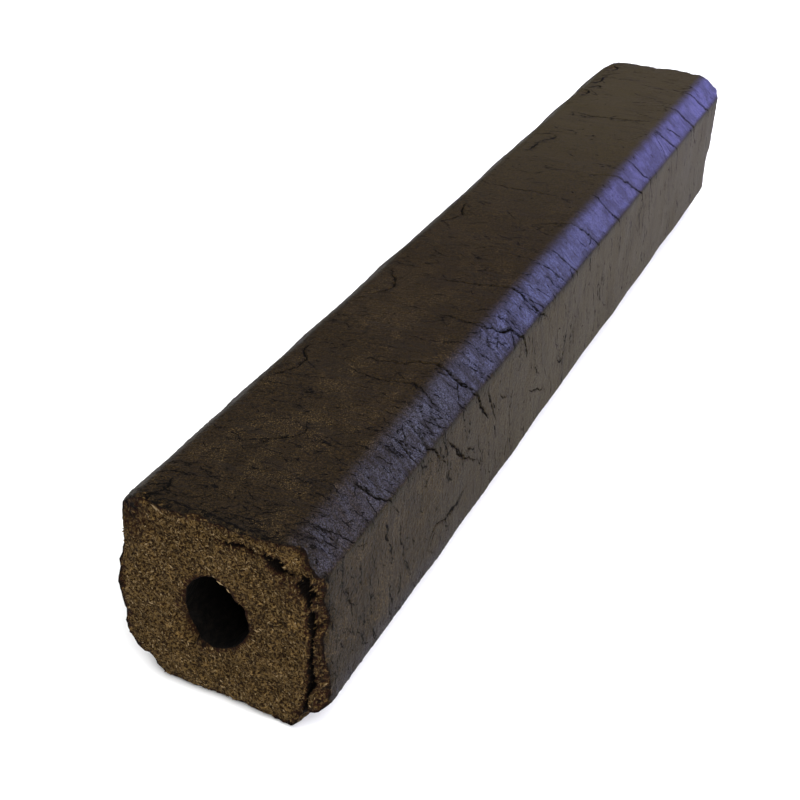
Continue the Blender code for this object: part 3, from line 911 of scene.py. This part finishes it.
def torn_wood_colour(tree):
    """The colour of torn wood, at the ends and in the chips."""
    clumps = fibres(tree, (2.6, 2.2, 2.2), 3.0)
    regions = fibres(tree, (9.0, 6.0, 6.0), 2.0)
    gaps = fibres(tree, (0.52, 0.52, 0.52), 3.0)
    way = ramp(tree, fibres(tree, (3.0, 1.5, 1.5), 1.0), 0.47, 0.53)
    grains = blend_values(tree, way, sawdust(tree, *FLAT_GRAINS), sawdust(tree, *UPRIGHT_GRAINS))
    palest = ramp(tree, grains, 0.87, 0.97, 0.0, 0.8)
    return layered(
        tree, GRAIN_DARK,
        (grains, GRAIN_PALE),
        (ramp(tree, clumps, 0.42, 0.66, 0.0, 0.4), CLUMP),
        (ramp(tree, regions, 0.50, 0.36, 0.0, 0.45), REGION),
        (times(tree, palest, ramp(tree, clumps, 0.40, 0.55, 0.3, 1.0)), STRAW),
        (ramp(tree, gaps, 0.56, 0.44, 0.0, 0.92), GAP),
    )


# The skin's colours, in the order in which they lie over each other. The shine on the glazed corner
# is its bluish tint with a painted reflection of blue light, which grows bluer along the bar.
THINNEST_LINE = 0.02
CHAR = (0.0026, 0.0014, 0.0004, 1)
BROWN_CHAR = (0.027, 0.0162, 0.0056, 1)
BLACK_DUST = (0.003, 0.0018, 0.0008, 1)
DARK_FIBRE = (0.006, 0.0038, 0.002, 1)
PALE_FLECK = (0.098, 0.065, 0.028, 1)
PALE_AND_SHEEN = (0.0330, 0.0248, 0.0122, 1)
DARK_STREAK = (0.011, 0.0075, 0.0045, 1)
BARE_CORNER = (0.009, 0.007, 0.0055, 1)
TINT_AND_SHEEN_NEAR = (0.064, 0.066, 0.097, 1)
TINT_AND_SHEEN_MIDDLE = (0.071, 0.076, 0.164, 1)
TINT_AND_SHEEN_FAR = (0.049, 0.046, 0.109, 1)
DARK_EDGE = (0.008, 0.007, 0.003, 1)
SOOT_AND_SHADE = (0.004, 0.003, 0.002, 1)
CRACK_BLACK = (0.002, 0.0015, 0.001, 1)


def crack_line(tree):
    """1 inside a crack's line and 0 beside it, from how far the point lies to its side."""
    width = tone_of(tree, "crack_width")
    side = maths(tree, "ABSOLUTE", tone_of(tree, "crack_side"))
    share = maths(tree, "DIVIDE", side, maths(tree, "MAXIMUM", width, THINNEST_LINE))
    return times(tree, ramp(tree, share, 1.5, 0.8), ramp(tree, width, 0.015, 0.07))


def charred_skin():
    """Dark glazed char with fine fibres across the bar, pale flecks, painted sheen, black cracks of painted
    shade and torn edges.
    """
    material = new_material("charred_skin")
    tree = material.node_tree
    across = fibres(tree, (1.1, 4.5, 4.5), 4.0)
    fine = fibres(tree, (0.36, 0.5, 0.5), 4.0)
    dust = fibres(tree, (0.26, 0.3, 0.3), 2.0)
    streaks = fibres(tree, (3.0, 16.0, 16.0), 3.0)
    patches = fibres(tree, (12.0, 9.0, 9.0), 2.0)
    plates = fibres(tree, (4.5, 6.0, 6.0), 2.0)
    corner, ash, far = tone_of(tree, "glaze"), tone_of(tree, "ash"), tone_of(tree, "far")
    shade, crack = tone_of(tree, "crack_shade"), crack_line(tree)

    def along_bar(near_value, far_value):
        """A value that changes from the near part of the bar to the far part."""
        return blend_values(tree, far, near_value, far_value)

    fibred = times(tree, ramp(tree, across, 0.52, 0.36, 0.0, 0.4), along_bar(1.0, 0.3))
    flecked = times(tree, ramp(tree, dust, 0.56, 0.66), ramp(tree, patches, 0.48, 0.62, 0.12, 0.9))
    mottled = along_bar(ramp(tree, fine, 0.38, 0.60, 0.1, 1.0), ramp(tree, fine, 0.3, 0.55, 0.5, 1.0))
    streaked = times(tree, ramp(tree, streaks, 0.5, 0.34, 0.0, 0.55), along_bar(1.0, 0.4))
    dusted = along_bar(ramp(tree, dust, 0.40, 0.62), ramp(tree, dust, 0.3, 0.6, 0.55, 1.0))
    speckled = times(tree, dusted, ramp(tree, fine, 0.38, 0.54, 0.65, 1.0))
    crests = along_bar(ramp(tree, across, 0.36, 0.56, 0.25, 1.0), ramp(tree, across, 0.3, 0.5, 0.6, 1.0))
    plated = times(tree, corner, ramp(tree, plates, 0.40, 0.60, 0.62, 1.0))
    glaze = times(tree, plated, times(tree, speckled, crests))
    to_middle, to_far = ramp(tree, far, 0.0, 0.35), ramp(tree, far, 0.4, 1.0)
    # The glaze's bluish tint with a painted reflection of blue light, changing along the bar.
    shine = layered(tree, TINT_AND_SHEEN_NEAR, (to_middle, TINT_AND_SHEEN_MIDDLE), (to_far, TINT_AND_SHEEN_FAR))
    colour = layered(
        tree, CHAR,
        (ramp(tree, fine, 0.38, 0.62), BROWN_CHAR),
        (ramp(tree, dust, 0.5, 0.38, 0.0, 0.8), BLACK_DUST),
        (fibred, DARK_FIBRE),
        (times(tree, flecked, along_bar(1.0, 0.1)), PALE_FLECK),
        # The paler tone with its painted sheen towards the far end.
        (times(tree, ash, mottled), PALE_AND_SHEEN),
        (streaked, DARK_STREAK),
        (times(tree, corner, 0.85), BARE_CORNER),
        # The glazed corner's painted blue reflection.
        (glaze, shine),
        (tone_of(tree, "torn"), torn_wood_colour(tree)),
        (times(tree, tone_of(tree, "edge"), 0.75), DARK_EDGE),
        # Painted shade beside the cracks, dark blots, and soot with painted shade along the rims.
        (times(tree, shade, 0.8), SOOT_AND_SHADE),
        # The cracks' black lines, painted shade of their deep openings.
        (crack, CRACK_BLACK),
    )
    rough = blend_values(tree, glaze, 0.62, along_bar(0.33, 0.27))
    rough = blend_values(tree, shade, rough, 0.95)
    rough = blend_values(tree, crack, rough, 1.0)
    height = times(tree, maths(tree, "MULTIPLY_ADD", across, 0.5, fine), along_bar(1.0, 0.4))
    bump = (maths(tree, "SUBTRACT", height, crack), 0.9, 0.0003)
    return finish_material(material, colour, rough, 0.07, bump)


skin_material = charred_skin()
skin_normals = grid_normals(skin_points)
edge_rows = np.searchsorted(row_s, (CORNER_PLACES[1] - 4, CORNER_PLACES[2] + 2))
skin_strips = {
    "skin_top": range(edge_rows[0] + 1),
    "skin_edge": range(edge_rows[0], edge_rows[1] + 1),
    "skin_right": range(edge_rows[1], seen_rows + 1),
    "skin_left_and_base": [*range(seen_rows, len(row_s)), 0],
}
for name, rows in skin_strips.items():
    wooden_piece(
        name, "charred_wood", skin_points, grid_faces(rows, skin_u.shape[1], False), skin_material,
        normals=skin_normals, crack_side=crack_side, crack_width=crack_width, crack_shade=crack_shade,
        torn=torn_tone, glaze=glaze_tone, edge=edge_tone, ash=ash_tone, far=smooth_tone,
    )


# The bore is the hole that the press's mandrel leaves. Gas burns along it, so its wall is black, dry
# and scaly. Its spokes line up with the skin's rows, so that the torn ends join both. Its near mouth is
# worn at places given as (degrees round it, width in radians, depth).
BORE = 15.8
BORE_Y = -1.0
BORE_Z = 24.6
BORE_WAVE = 0.55
BORE_SCALES = ((0.18, 2.6, 2.0), (0.10, 1.1, 5.0))
MOUTH_WORN = ((90, 0.5, 1.3), (-100, 0.6, 1.8), (175, 0.6, -1.1))
MOUTH_REACH = 6.0
MOUTH_RAG = 0.5
MOUTH_RAG_REACH = 1.6
BORE_CELL = 0.35
BORE_CELL_DEEP = 4.0
BORE_DEEP = 60
BORE_BLACK = (0.0006, 0.0005, 0.0004, 1)
BORE_SCALE = (0.0030, 0.0022, 0.0016, 1)


def bore_wall_at(x, turn):
    """Points of the bore's wall at x and at this turn round it, and the way out of the wood there."""
    ring = np.stack([x, BORE / 2 * np.cos(turn), BORE / 2 * np.sin(turn)], -1)
    swell = BORE_WAVE * (np.clip(grain(ring, BORE) + 0.5, 0, 1) - 0.5)
    for height, reach, seed in BORE_SCALES:
        swell += height * grain(ring, reach, seed)
    for place, wide, deep in MOUTH_WORN:
        lobe = np.exp(2 * (np.cos(turn - math.radians(place)) - 1) / wide**2)
        swell += deep * lobe * np.exp(-(LENGTH / 2 - x) / MOUTH_REACH)
    outward = np.stack([np.zeros_like(turn), -np.cos(turn), -np.sin(turn)], -1)
    return ring - swell[..., None] * outward + np.array([0, BORE_Y, BORE_Z]), outward


mouth_turn = np.arctan2(row_yz[:, 1] - BORE_Z, row_yz[:, 0] - BORE_Y)


def mouth(way, depth_of, least, seed):
    """The rim of the bore at one end of the bar."""
    points, outward = bore_wall_at(np.full(len(mouth_turn), way * LENGTH / 2), mouth_turn)
    depth = np.maximum(0, depth_of(points[:, 1], points[:, 2]) - least)
    depth += MOUTH_RAG * np.abs(grain(points, MOUTH_RAG_REACH, seed))
    points[:, 0] = way * (LENGTH / 2 - depth)
    outward[:, 0] = way
    outward /= np.linalg.norm(outward, axis=1)[:, None]
    push_out_of_chips(points, outward)
    return points


def burnt_bore():
    """Nearly black, dull char."""
    material = new_material("burnt_bore")
    scales = fibres(material.node_tree, (1.6, 1.2, 1.2), 4.0)
    scaly = ramp(material.node_tree, scales, 0.35, 0.7)
    colour = layered(material.node_tree, BORE_BLACK, (scaly, BORE_SCALE))
    return finish_material(material, colour, 0.95, 0.06, (scales, 0.7, 0.0004))


near_mouth = mouth(1, near_depth, NEAR_LEAST, 3.0)
far_mouth = mouth(-1, far_depth, FAR_LEAST, 8.0)
depths = [0.0]
while depths[-1] < LENGTH / 2:
    depths.append(depths[-1] + BORE_CELL + (BORE_CELL_DEEP - BORE_CELL) * min(1, depths[-1] / BORE_DEEP))
half_share = np.array(depths) / depths[-1] / 2
bore_share = np.concatenate([half_share, 1 - half_share[-2::-1]])
bore_x = near_mouth[:, :1] + (far_mouth[:, :1] - near_mouth[:, :1]) * bore_share
bore_points, bore_outward = bore_wall_at(bore_x, np.repeat(mouth_turn[:, None], len(bore_share), axis=1))
bore_way = tilted(bore_outward, near_mouth[:, :1] - bore_x, bore_x - far_mouth[:, :1])
push_out_of_chips(bore_points, bore_way)
bore_points[:, 0], bore_points[:, -1] = near_mouth, far_mouth
bore_faces = grid_faces(range(len(row_s)), len(bore_share), True)[:, ::-1]
wooden_piece("bore_wall", "burnt_bore", bore_points, bore_faces, burnt_bore())


# The near end is torn: a mass of pressed fibres and chips. The outer layer has come loose from the
# core along a ring crevice, as (y, z, width, depth), which is painted dark as its shade. The wood is
# charred round the bore, and darkened at the rim by char and by painted shade. The roughness of an end
# is (height, reach, seed), and dark places, charred and beside the bore with painted shade, are (how
# dark, y, z, reach_y, reach_z).
RING_CELL = 0.25
RINGS_OVER = 20
BROAD = 21
BROAD_REACH = 3.0
FINE_REACH = 0.9
END_ROUGHNESS = (
    (0.40, (1.9, 1.9, 1.9), 0.0),
    (0.34, (1, 0.9, 0.9), 3.0),
    (0.30, (1, 0.5, 0.5), 6.0),
)
LUMPS = (0.35, (1, 3.0, 3.0), 12.0)
CREVICE_STRAYS = 0.45
CREVICE_OPENS = (0.12, 0.4)
# The crevice's black and the halo round it are painted shade, and the rim's dark is char with painted
# shade.
CREVICE_BLACK = 0.97
HALO_DARK = 0.75
RIM_DARK = 0.85
RIM_DARK_REACH = 1.5
BORE_DARK = 0.8
BORE_DARK_REACH = 1.1
NEAR_CHARRED_AND_SHADED = (
    (1.0, -22, 45, 7, 7),
    (0.85, -24.5, 39, 1.8, 9),
    (0.5, 17.5, 39, 4.5, 5),
    (0.75, -9.0, 24.0, 2.0, 5.0),
    (0.85, -5.5, 15.5, 3.5, 2.5),
)
LOOSE_CHARRED, LOOSE_FROM = 0.72, (20.0, 22.0)
TOP_CHARRED_AND_SHADED, TOP_FROM = 0.6, (46.0, 48.5)
SINGED_AND_SHADED = (0.016, 0.0055, 0.0032, 1)
BURNT_AND_SHADED = (0.003, 0.0019, 0.0012, 1)
NEAR_CREVICE = (
    (0.5, 44.9, 0.6, 0.9),
    (4.0, 44.6, 1.0, 1.1),
    (8.5, 44.6, 1.0, 1.2),
    (10.8, 44.6, 0.8, 1.3),
    (12.6, 44.0, 2.8, 1.8),
    (14.8, 42.7, 3.3, 2.0),
    (16.8, 41.6, 0.9, 1.2),
    (18.6, 42.2, 0.4, 1.2),
    (19.9, 42.4, 0.8, 1.8),
    (20.2, 41.0, 3.0, 2.6),
    (20.3, 38.8, 4.0, 2.8),
    (20.6, 36.6, 3.2, 2.6),
    (20.8, 34.8, 1.0, 2.2),
    (21.0, 33.2, 1.0, 2.0),
    (20.5, 30.9, 2.0, 2.2),
    (20.9, 28.6, 1.3, 2.0),
    (21.2, 26.4, 0.7, 1.6),
    (20.6, 20.5, 1.5, 2.0),
    (20.5, 15, 2.0, 2.4),
    (19.6, 10, 0.9, 1.8),
    (18.6, 6, 1.5, 2.0),
    (17, 2, 0.6, 1.6),
)


def between(values, times_finer):
    """Values round a closed ring, with more of them placed evenly between each two."""
    share = np.arange(times_finer)[:, None] / times_finer
    after = np.roll(values, -1, axis=0)
    return (values[:, None] * (1 - share) + after[:, None] * share).reshape(-1, values.shape[-1])


def crevice_depth(y, z, stations, seed):
    """How far an end sinks at (y, z) into the crevice, and how dark its painted shade is there."""
    stations = np.array(stations, float)
    line = ragged_line(stations[:, :2], seed, CREVICE_STRAYS)
    reached = np.append(0, np.cumsum(np.linalg.norm(np.diff(stations[:, :2], axis=0), axis=1)))
    along = np.linspace(0, reached[-1], len(line))
    half = np.interp(along, reached, stations[:, 2]) / 2
    deep = np.interp(along, reached, stations[:, 3])
    half *= np.clip(1 + 0.7 * grain(np.column_stack([line, np.full(len(line), seed)]), 1.7), 0.4, 1.5)
    away = np.hypot(y[..., None] - line[:, 0], z[..., None] - line[:, 1])
    nearest = away.argmin(-1)
    places = np.stack([np.full(y.shape, seed), y, z], -1)
    ragged = 1 + 0.45 * grain(places, 1.5, 3.0) + 0.35 * grain(places, 0.55, 8.0)
    share = away.min(-1) / half[nearest] * np.clip(ragged, 0.35, 2)
    opened = step(half[nearest], *CREVICE_OPENS)
    halo = HALO_DARK * np.exp(-((0.6 * share) ** 2)) * np.clip(0.85 + 0.8 * grain(places, 0.8, 5.0), 0, 1)
    dark = opened * np.maximum(halo, CREVICE_BLACK * (1 - step(share, 0.75, 1.15)))
    return opened * deep[nearest] * np.clip(1 - share**2, 0, 1), dark


def torn_end(name, way, depth_of, least, rim, mouth_ring, stations, burnt, seed, cell):
    """One torn end, in rings from the skin's rim to the bore's mouth. Returns its points, and how
    dark each of them is, from char and painted shade."""
    outer, inner = between(rim, 2), between(mouth_ring, 2)
    rings = round(RINGS_OVER / cell)
    share = np.linspace(0, 1, rings)[:, None, None]
    points = outer * (1 - share) + inner * share
    y, z = points[..., 1], points[..., 2]
    from_skin = np.linalg.norm(points[..., 1:] - outer[:, 1:], axis=-1)
    from_bore = np.linalg.norm(points[..., 1:] - inner[:, 1:], axis=-1)

    # The face, sunk along the crevice and drawn to both rims: the skin's rim draws it in a broad curve,
    # and each rim's own bites only close by.
    flat = np.stack([np.full(y.shape, seed), y, z], -1)
    depth = np.maximum(0, depth_of(y, z) - least)
    for height, reach, grain_seed in END_ROUGHNESS:
        depth += height * grain(flat, reach, grain_seed)
    depth -= LUMPS[0] * np.abs(grain(flat, *LUMPS[1:]))
    sink, dark = crevice_depth(y, z, stations, seed)
    sink *= step(from_skin, 0.4, 2.0)
    x = way * (LENGTH / 2 - np.maximum(0.0, depth) - sink)
    to_skin, to_bore = outer[:, 0] - x[0], inner[:, 0] - x[-1]
    count = len(outer)
    broad = np.convolve(np.tile(to_skin, 3), np.full(BROAD, 1 / BROAD), "same")[count : 2 * count]
    x += broad * np.exp(-from_skin / BROAD_REACH) + (to_skin - broad) * np.exp(-from_skin / FINE_REACH)
    x += to_bore * np.exp(-from_bore / FINE_REACH)
    points[..., 0] = x
    outward = np.zeros(points.shape)
    outward[..., 0] = way
    push_out_of_chips(points, outward)
    points[0], points[-1] = outer, inner

    # How dark it is: painted shade in the crevice, the end's own dark places, char round the bore, and char
    # with painted shade along the skin's rim.
    uneven = np.clip(0.75 + 1.3 * grain(flat, (1, 1.3, 1.3), 9.0), 0.05, 1.6)
    dark = np.maximum(dark, burnt(y, z) * np.clip(uneven, 0.3, 1.15))
    dark = np.maximum(dark, BORE_DARK * np.exp(-from_bore / (BORE_DARK_REACH * uneven)))
    # Char with painted shade along the skin's rim.
    dark = np.maximum(dark, RIM_DARK * np.exp(-((from_skin / (RIM_DARK_REACH * uneven)) ** 2)))
    dark = np.clip(dark, 0, 1)

    seam = np.arange(rings - 1) * count
    closing = np.stack([seam + count - 1, seam, seam + count, seam + 2 * count - 1], -1)
    faces = np.concatenate([grid_faces(range(rings), count, False), closing])
    if way < 0:
        faces = faces[:, ::-1]
    wooden_piece(name, "torn_wood", points, faces, torn_material, burnt=dark)
    return points, dark


def torn_wood():
    """Dry brown fibres, darker where they are burnt and where shade is painted."""
    material = new_material("torn_wood")
    tree = material.node_tree
    burnt = tone_of(tree, "burnt")
    patchy = ramp(tree, fibres(tree, (0.4, 0.4, 0.4), 3.0), 0.40, 0.58, 0.35, 1.0)
    singed_and_shaded = times(tree, ramp(tree, burnt, 0.0, 0.6), patchy)
    charred_and_shaded = ramp(tree, burnt, 0.5, 0.95)
    colour = layered(tree, torn_wood_colour(tree), (singed_and_shaded, SINGED_AND_SHADED), (charred_and_shaded, BURNT_AND_SHADED))
    bump = (fibres(tree, (0.35, 0.35, 0.35), 4.0), 1.0, 0.0006)
    return finish_material(material, colour, 0.95, 0.06, bump)


def near_burnt(y, z):
    """How dark the near end is: charred at its broken top corner and on the loose outer layer, and charred
    with painted shade along its top rim and beside the bore.
    """
    dark = [share * hump(y, z, *place) for share, *place in NEAR_CHARRED_AND_SHADED]
    dark += [LOOSE_CHARRED * step(y, *LOOSE_FROM), TOP_CHARRED_AND_SHADED * step(z, *TOP_FROM)]
    return np.max(dark, axis=0)


torn_material = torn_wood()
near_points, near_dark = torn_end(
    "near_end", 1, near_depth, NEAR_LEAST, skin_points[:, 0], near_mouth,
    NEAR_CREVICE, near_burnt, NEAR_SEED, RING_CELL,
)

# The far end broke the same way. It is out of the photograph's sight.
FAR_RING_CELL = 0.4
FAR_CREVICE = (
    (9, 5.5, 0.7, 4),
    (-2, 4.8, 1.2, 6),
    (-14, 6, 1.5, 8),
    (-20, 13, 1.8, 9),
    (-21, 25, 1.3, 7),
    (-20.5, 38, 1.0, 5),
)
FAR_CHARRED = 0.55
CHARRED_ACROSS = (4, 14)
CHARRED_DOWN = (26, 32)


def far_burnt(y, z):
    """How charred the far end is: the low corner that broke away while hot."""
    return FAR_CHARRED * step(y, *CHARRED_ACROSS) * step(SIDE - z, *CHARRED_DOWN)


far_points, far_dark = torn_end(
    "far_end", -1, far_depth, FAR_LEAST, skin_points[:, -1], far_mouth,
    FAR_CREVICE, far_burnt, FAR_SEED, FAR_RING_CELL,
)


# Splinters of sawdust stand up all over both torn ends. Each is a thin sliver with two pointed tips,
# half sunk in the end, and each has its own tone, from charred to pale straw. Those of the loose outer
# layer are longer and stand on end. The largest are those of the photograph, as (y, z, length, turn).
NEAR_SPLINTERS = 5200
FAR_SPLINTERS = 2600
SPLINTER_SEED = 57
SPLINTER_LENGTHS = (0.35, 0.95)
SPLINTER_WIDTHS = (0.2, 0.5)
SPLINTER_THICKNESS = (0.12, 0.26)
SPLINTER_RISE = 0.16
SPLINTER_STANDS = (-0.02, 0.12)
SPLINTER_SLANT = 0.25
LONG_ONES = (1, 1, 1, 1.7)
LOOSE_FROM_Y = 20.8
LOOSE_LONGER = 1.7
LOOSE_TURN = (1.0, 0.35)
LARGE_RISE = 0.04
LARGE_THICKNESS = 0.4
SPLINTER_TONE = (0.36, 0.19)
PALE_SHARE = 0.04
DARK_SPLINTER = (0.012, 0.0065, 0.002, 1)
BROWN_SPLINTER = (0.086, 0.053, 0.019, 1)
STRAW_SPLINTER = (0.22, 0.155, 0.08, 1)
LARGE_SPLINTERS = (
    (-12.4, 47.2, 3.4, -28),
    (17.8, 44.4, 2.3, -24),
    (12.9, 45.2, 2.2, 43),
    (10.2, 45.3, 1.3, 33),
    (0.7, 33.0, 1.8, -17),
    (8.3, 23.7, 2.3, 8),
    (-10.4, 33.6, 1.1, -35),
    (-5.6, 34.5, 1.2, 22),
    (-1.4, 36.1, 1.0, -12),
    (-2.8, 44.9, 1.1, -12),
    (-16.2, 37.3, 1.2, 45),
    (2.2, 31.5, 1.3, -40),
)


def splinters(name, count, points, dark, way, seed, large=()):
    """The splinters of one end, in random places on it, after the large ones in theirs."""
    draw = np.random.default_rng(seed)
    rings, spokes = points.shape[:2]
    ring = draw.integers(4, rings - 3, 4 * count)
    spoke = draw.integers(0, spokes, 4 * count)
    place = points[ring, spoke]
    wide = np.linalg.norm(points[ring, (spoke + 1) % spokes] - place, axis=1)
    keep = np.flatnonzero(draw.random(4 * count) < wide / np.quantile(wide, 0.9))[:count]
    place, burnt = place[keep], dark[ring, spoke][keep]
    keep = np.flatnonzero(burnt < draw.uniform(0.35, 1.1, len(place)))
    large = np.array(large).reshape(-1, 4)
    big = len(large)
    nearest = [np.hypot(*(points[..., 1:] - spot).T).T.argmin() for spot in large[:, :2]]
    place = np.concatenate([points.reshape(-1, 3)[nearest], place[keep]])
    burnt = np.concatenate([np.zeros(big), burnt[keep]])
    count = len(place)
    loose = way * place[:, 1] > LOOSE_FROM_Y
    turn = np.where(loose, draw.normal(*LOOSE_TURN, count), draw.uniform(0, math.pi, count))
    rise = draw.normal(0, SPLINTER_RISE, count)
    length = draw.uniform(*SPLINTER_LENGTHS, count) * draw.choice(LONG_ONES, count)
    length *= np.where(loose, LOOSE_LONGER, 1)
    width = draw.uniform(*SPLINTER_WIDTHS, count)
    thick = draw.uniform(*SPLINTER_THICKNESS, count)
    turn[:big], length[:big], rise[:big] = np.radians(large[:, 3]), large[:, 2], LARGE_RISE
    width[:big], thick[:big] = 0.24 * large[:, 2] + 0.15, LARGE_THICKNESS
    along = np.stack([way * np.sin(rise), np.cos(rise) * np.cos(turn), np.cos(rise) * np.sin(turn)], -1)
    out = np.array([way, 0.0, 0.0])
    across = np.cross(along, out)
    across /= np.linalg.norm(across, axis=1)[:, None]
    up = np.cross(across, along)
    middle = place + draw.uniform(*SPLINTER_STANDS, count)[:, None] * out
    half_length, half_width = along * length[:, None] / 2, across * width[:, None] / 2
    half_thick = up * thick[:, None] / 2
    slant = draw.uniform(-SPLINTER_SLANT, SPLINTER_SLANT, count)[:, None] * along * length[:, None]
    corners = np.stack([
        middle - half_length,
        middle + half_length,
        middle + slant + half_width,
        middle - slant - half_width,
        middle + slant + half_thick,
        middle - slant - half_thick,
    ], 1)
    corners[..., 0] = way * np.minimum(way * corners[..., 0], LENGTH / 2 + 0.2)
    side = [(0, 4, 2), (4, 1, 2), (0, 2, 5), (2, 1, 5), (0, 5, 3), (5, 1, 3), (0, 3, 4), (3, 1, 4)]
    faces = (np.arange(count)[:, None, None] * 6 + np.array(side)).reshape(-1, 3)
    tone = np.clip(draw.normal(*SPLINTER_TONE, count) + 0.45 * (draw.random(count) < PALE_SHARE), 0, 1)
    tone *= 1 - 0.45 * burnt
    tone[:big] = np.linspace(1.0, 0.85, big)
    wooden_piece(name, "torn_wood", corners, faces, splinter_material, False, tone=np.repeat(tone, 6))


def splinter_wood():
    """Dry splinters whose colour goes with their tone."""
    material = new_material("splinters")
    tree = material.node_tree
    tone = tone_of(tree, "tone")
    brown, straw = ramp(tree, tone, 0.05, 0.5), ramp(tree, tone, 0.5, 0.95)
    colour = layered(tree, DARK_SPLINTER, (brown, BROWN_SPLINTER), (straw, STRAW_SPLINTER))
    return finish_material(material, colour, 0.85, 0.1)


splinter_material = splinter_wood()
splinters("near_splinters", NEAR_SPLINTERS, near_points, near_dark, 1, SPLINTER_SEED, LARGE_SPLINTERS)
splinters("far_splinters", FAR_SPLINTERS, far_points, far_dark, -1, SPLINTER_SEED + 1)


# The bar lies on a plain pale floor. A wide soft light stands behind the camera, another hangs above,
# and a cooler panel low behind the right side gives the cut corner its blue shine. The room is brighter
# near its horizon.
FLOOR_SIZE = 30.0
FLOOR_TONE = 0.97
FLOOR_GAP = 0.0002
WHITE = (1, 1, 1)
BAR_MIDDLE = (0, 0, 0)
KEY_PLACE = (0.95, 1.75, 1.55)
KEY_SIZE = (2.4, 2.4)
KEY_POWER = 95.0
SKY_PLACE = (0, 0, 2.4)
SKY_SIZE = (3.6, 3.6)
SKY_POWER = 95.0
PANEL_PLACE = (-1.06, 0.50, 0.29)
PANEL_AIM = (0.0, 0.02, 0.045)
PANEL_SIZE = (0.8, 0.45)
PANEL_POWER = 6.5
PANEL_COLOUR = (0.25, 0.25, 1.0)
ROOM_LOW = 0.45
ROOM_HIGH = 0.12
ROOM_FADES = (0.12, 0.6)


def area_light(name, place, aim, size, power, colour):
    """A rectangular light that the camera doesn't see, turned to what it lights."""
    data = bpy.data.lights.new(name, "AREA")
    data.shape = "RECTANGLE"
    data.size, data.size_y = size
    data.energy = power
    data.color = colour
    light = bpy.data.objects.new(name, data)
    light.location = place
    light.rotation_mode = "QUATERNION"
    light.rotation_quaternion = (Vector(aim) - Vector(place)).to_track_quat("-Z", "Y")
    light.visible_camera = False
    bpy.context.scene.collection.objects.link(light)


floor_mesh = bpy.data.meshes.new("floor")
reach = FLOOR_SIZE / 2
floor_corners = [(-reach, -reach, 0), (reach, -reach, 0), (reach, reach, 0), (-reach, reach, 0)]
floor_mesh.from_pydata(floor_corners, [], [(0, 1, 2, 3)])
floor_colour = (FLOOR_TONE, FLOOR_TONE, FLOOR_TONE, 1)
floor_mesh.materials.append(finish_material(new_material("pale_floor"), floor_colour, 0.9, 0.1))
floor = bpy.data.objects.new("floor", floor_mesh)
floor.location.z = -FLOOR_GAP
bpy.context.scene.collection.objects.link(floor)

area_light("key_light", KEY_PLACE, BAR_MIDDLE, KEY_SIZE, KEY_POWER, WHITE)
area_light("sky_light", SKY_PLACE, BAR_MIDDLE, SKY_SIZE, SKY_POWER, WHITE)
area_light("cool_panel", PANEL_PLACE, PANEL_AIM, PANEL_SIZE, PANEL_POWER, PANEL_COLOUR)

room = bpy.data.worlds.new("room")
room.use_nodes = True
tree = room.node_tree
way_up = add_node(tree, "SeparateXYZ", None, Vector=add_node(tree, "TexCoord").outputs["Generated"])
strength = ramp(tree, way_up.outputs["Z"], *ROOM_FADES, ROOM_LOW, ROOM_HIGH)
plug(tree, tree.nodes["Background"], {"Color": (*WHITE, 1), "Strength": strength})
bpy.context.scene.world = room
bpy.context.scene.view_settings.view_transform = "Standard"
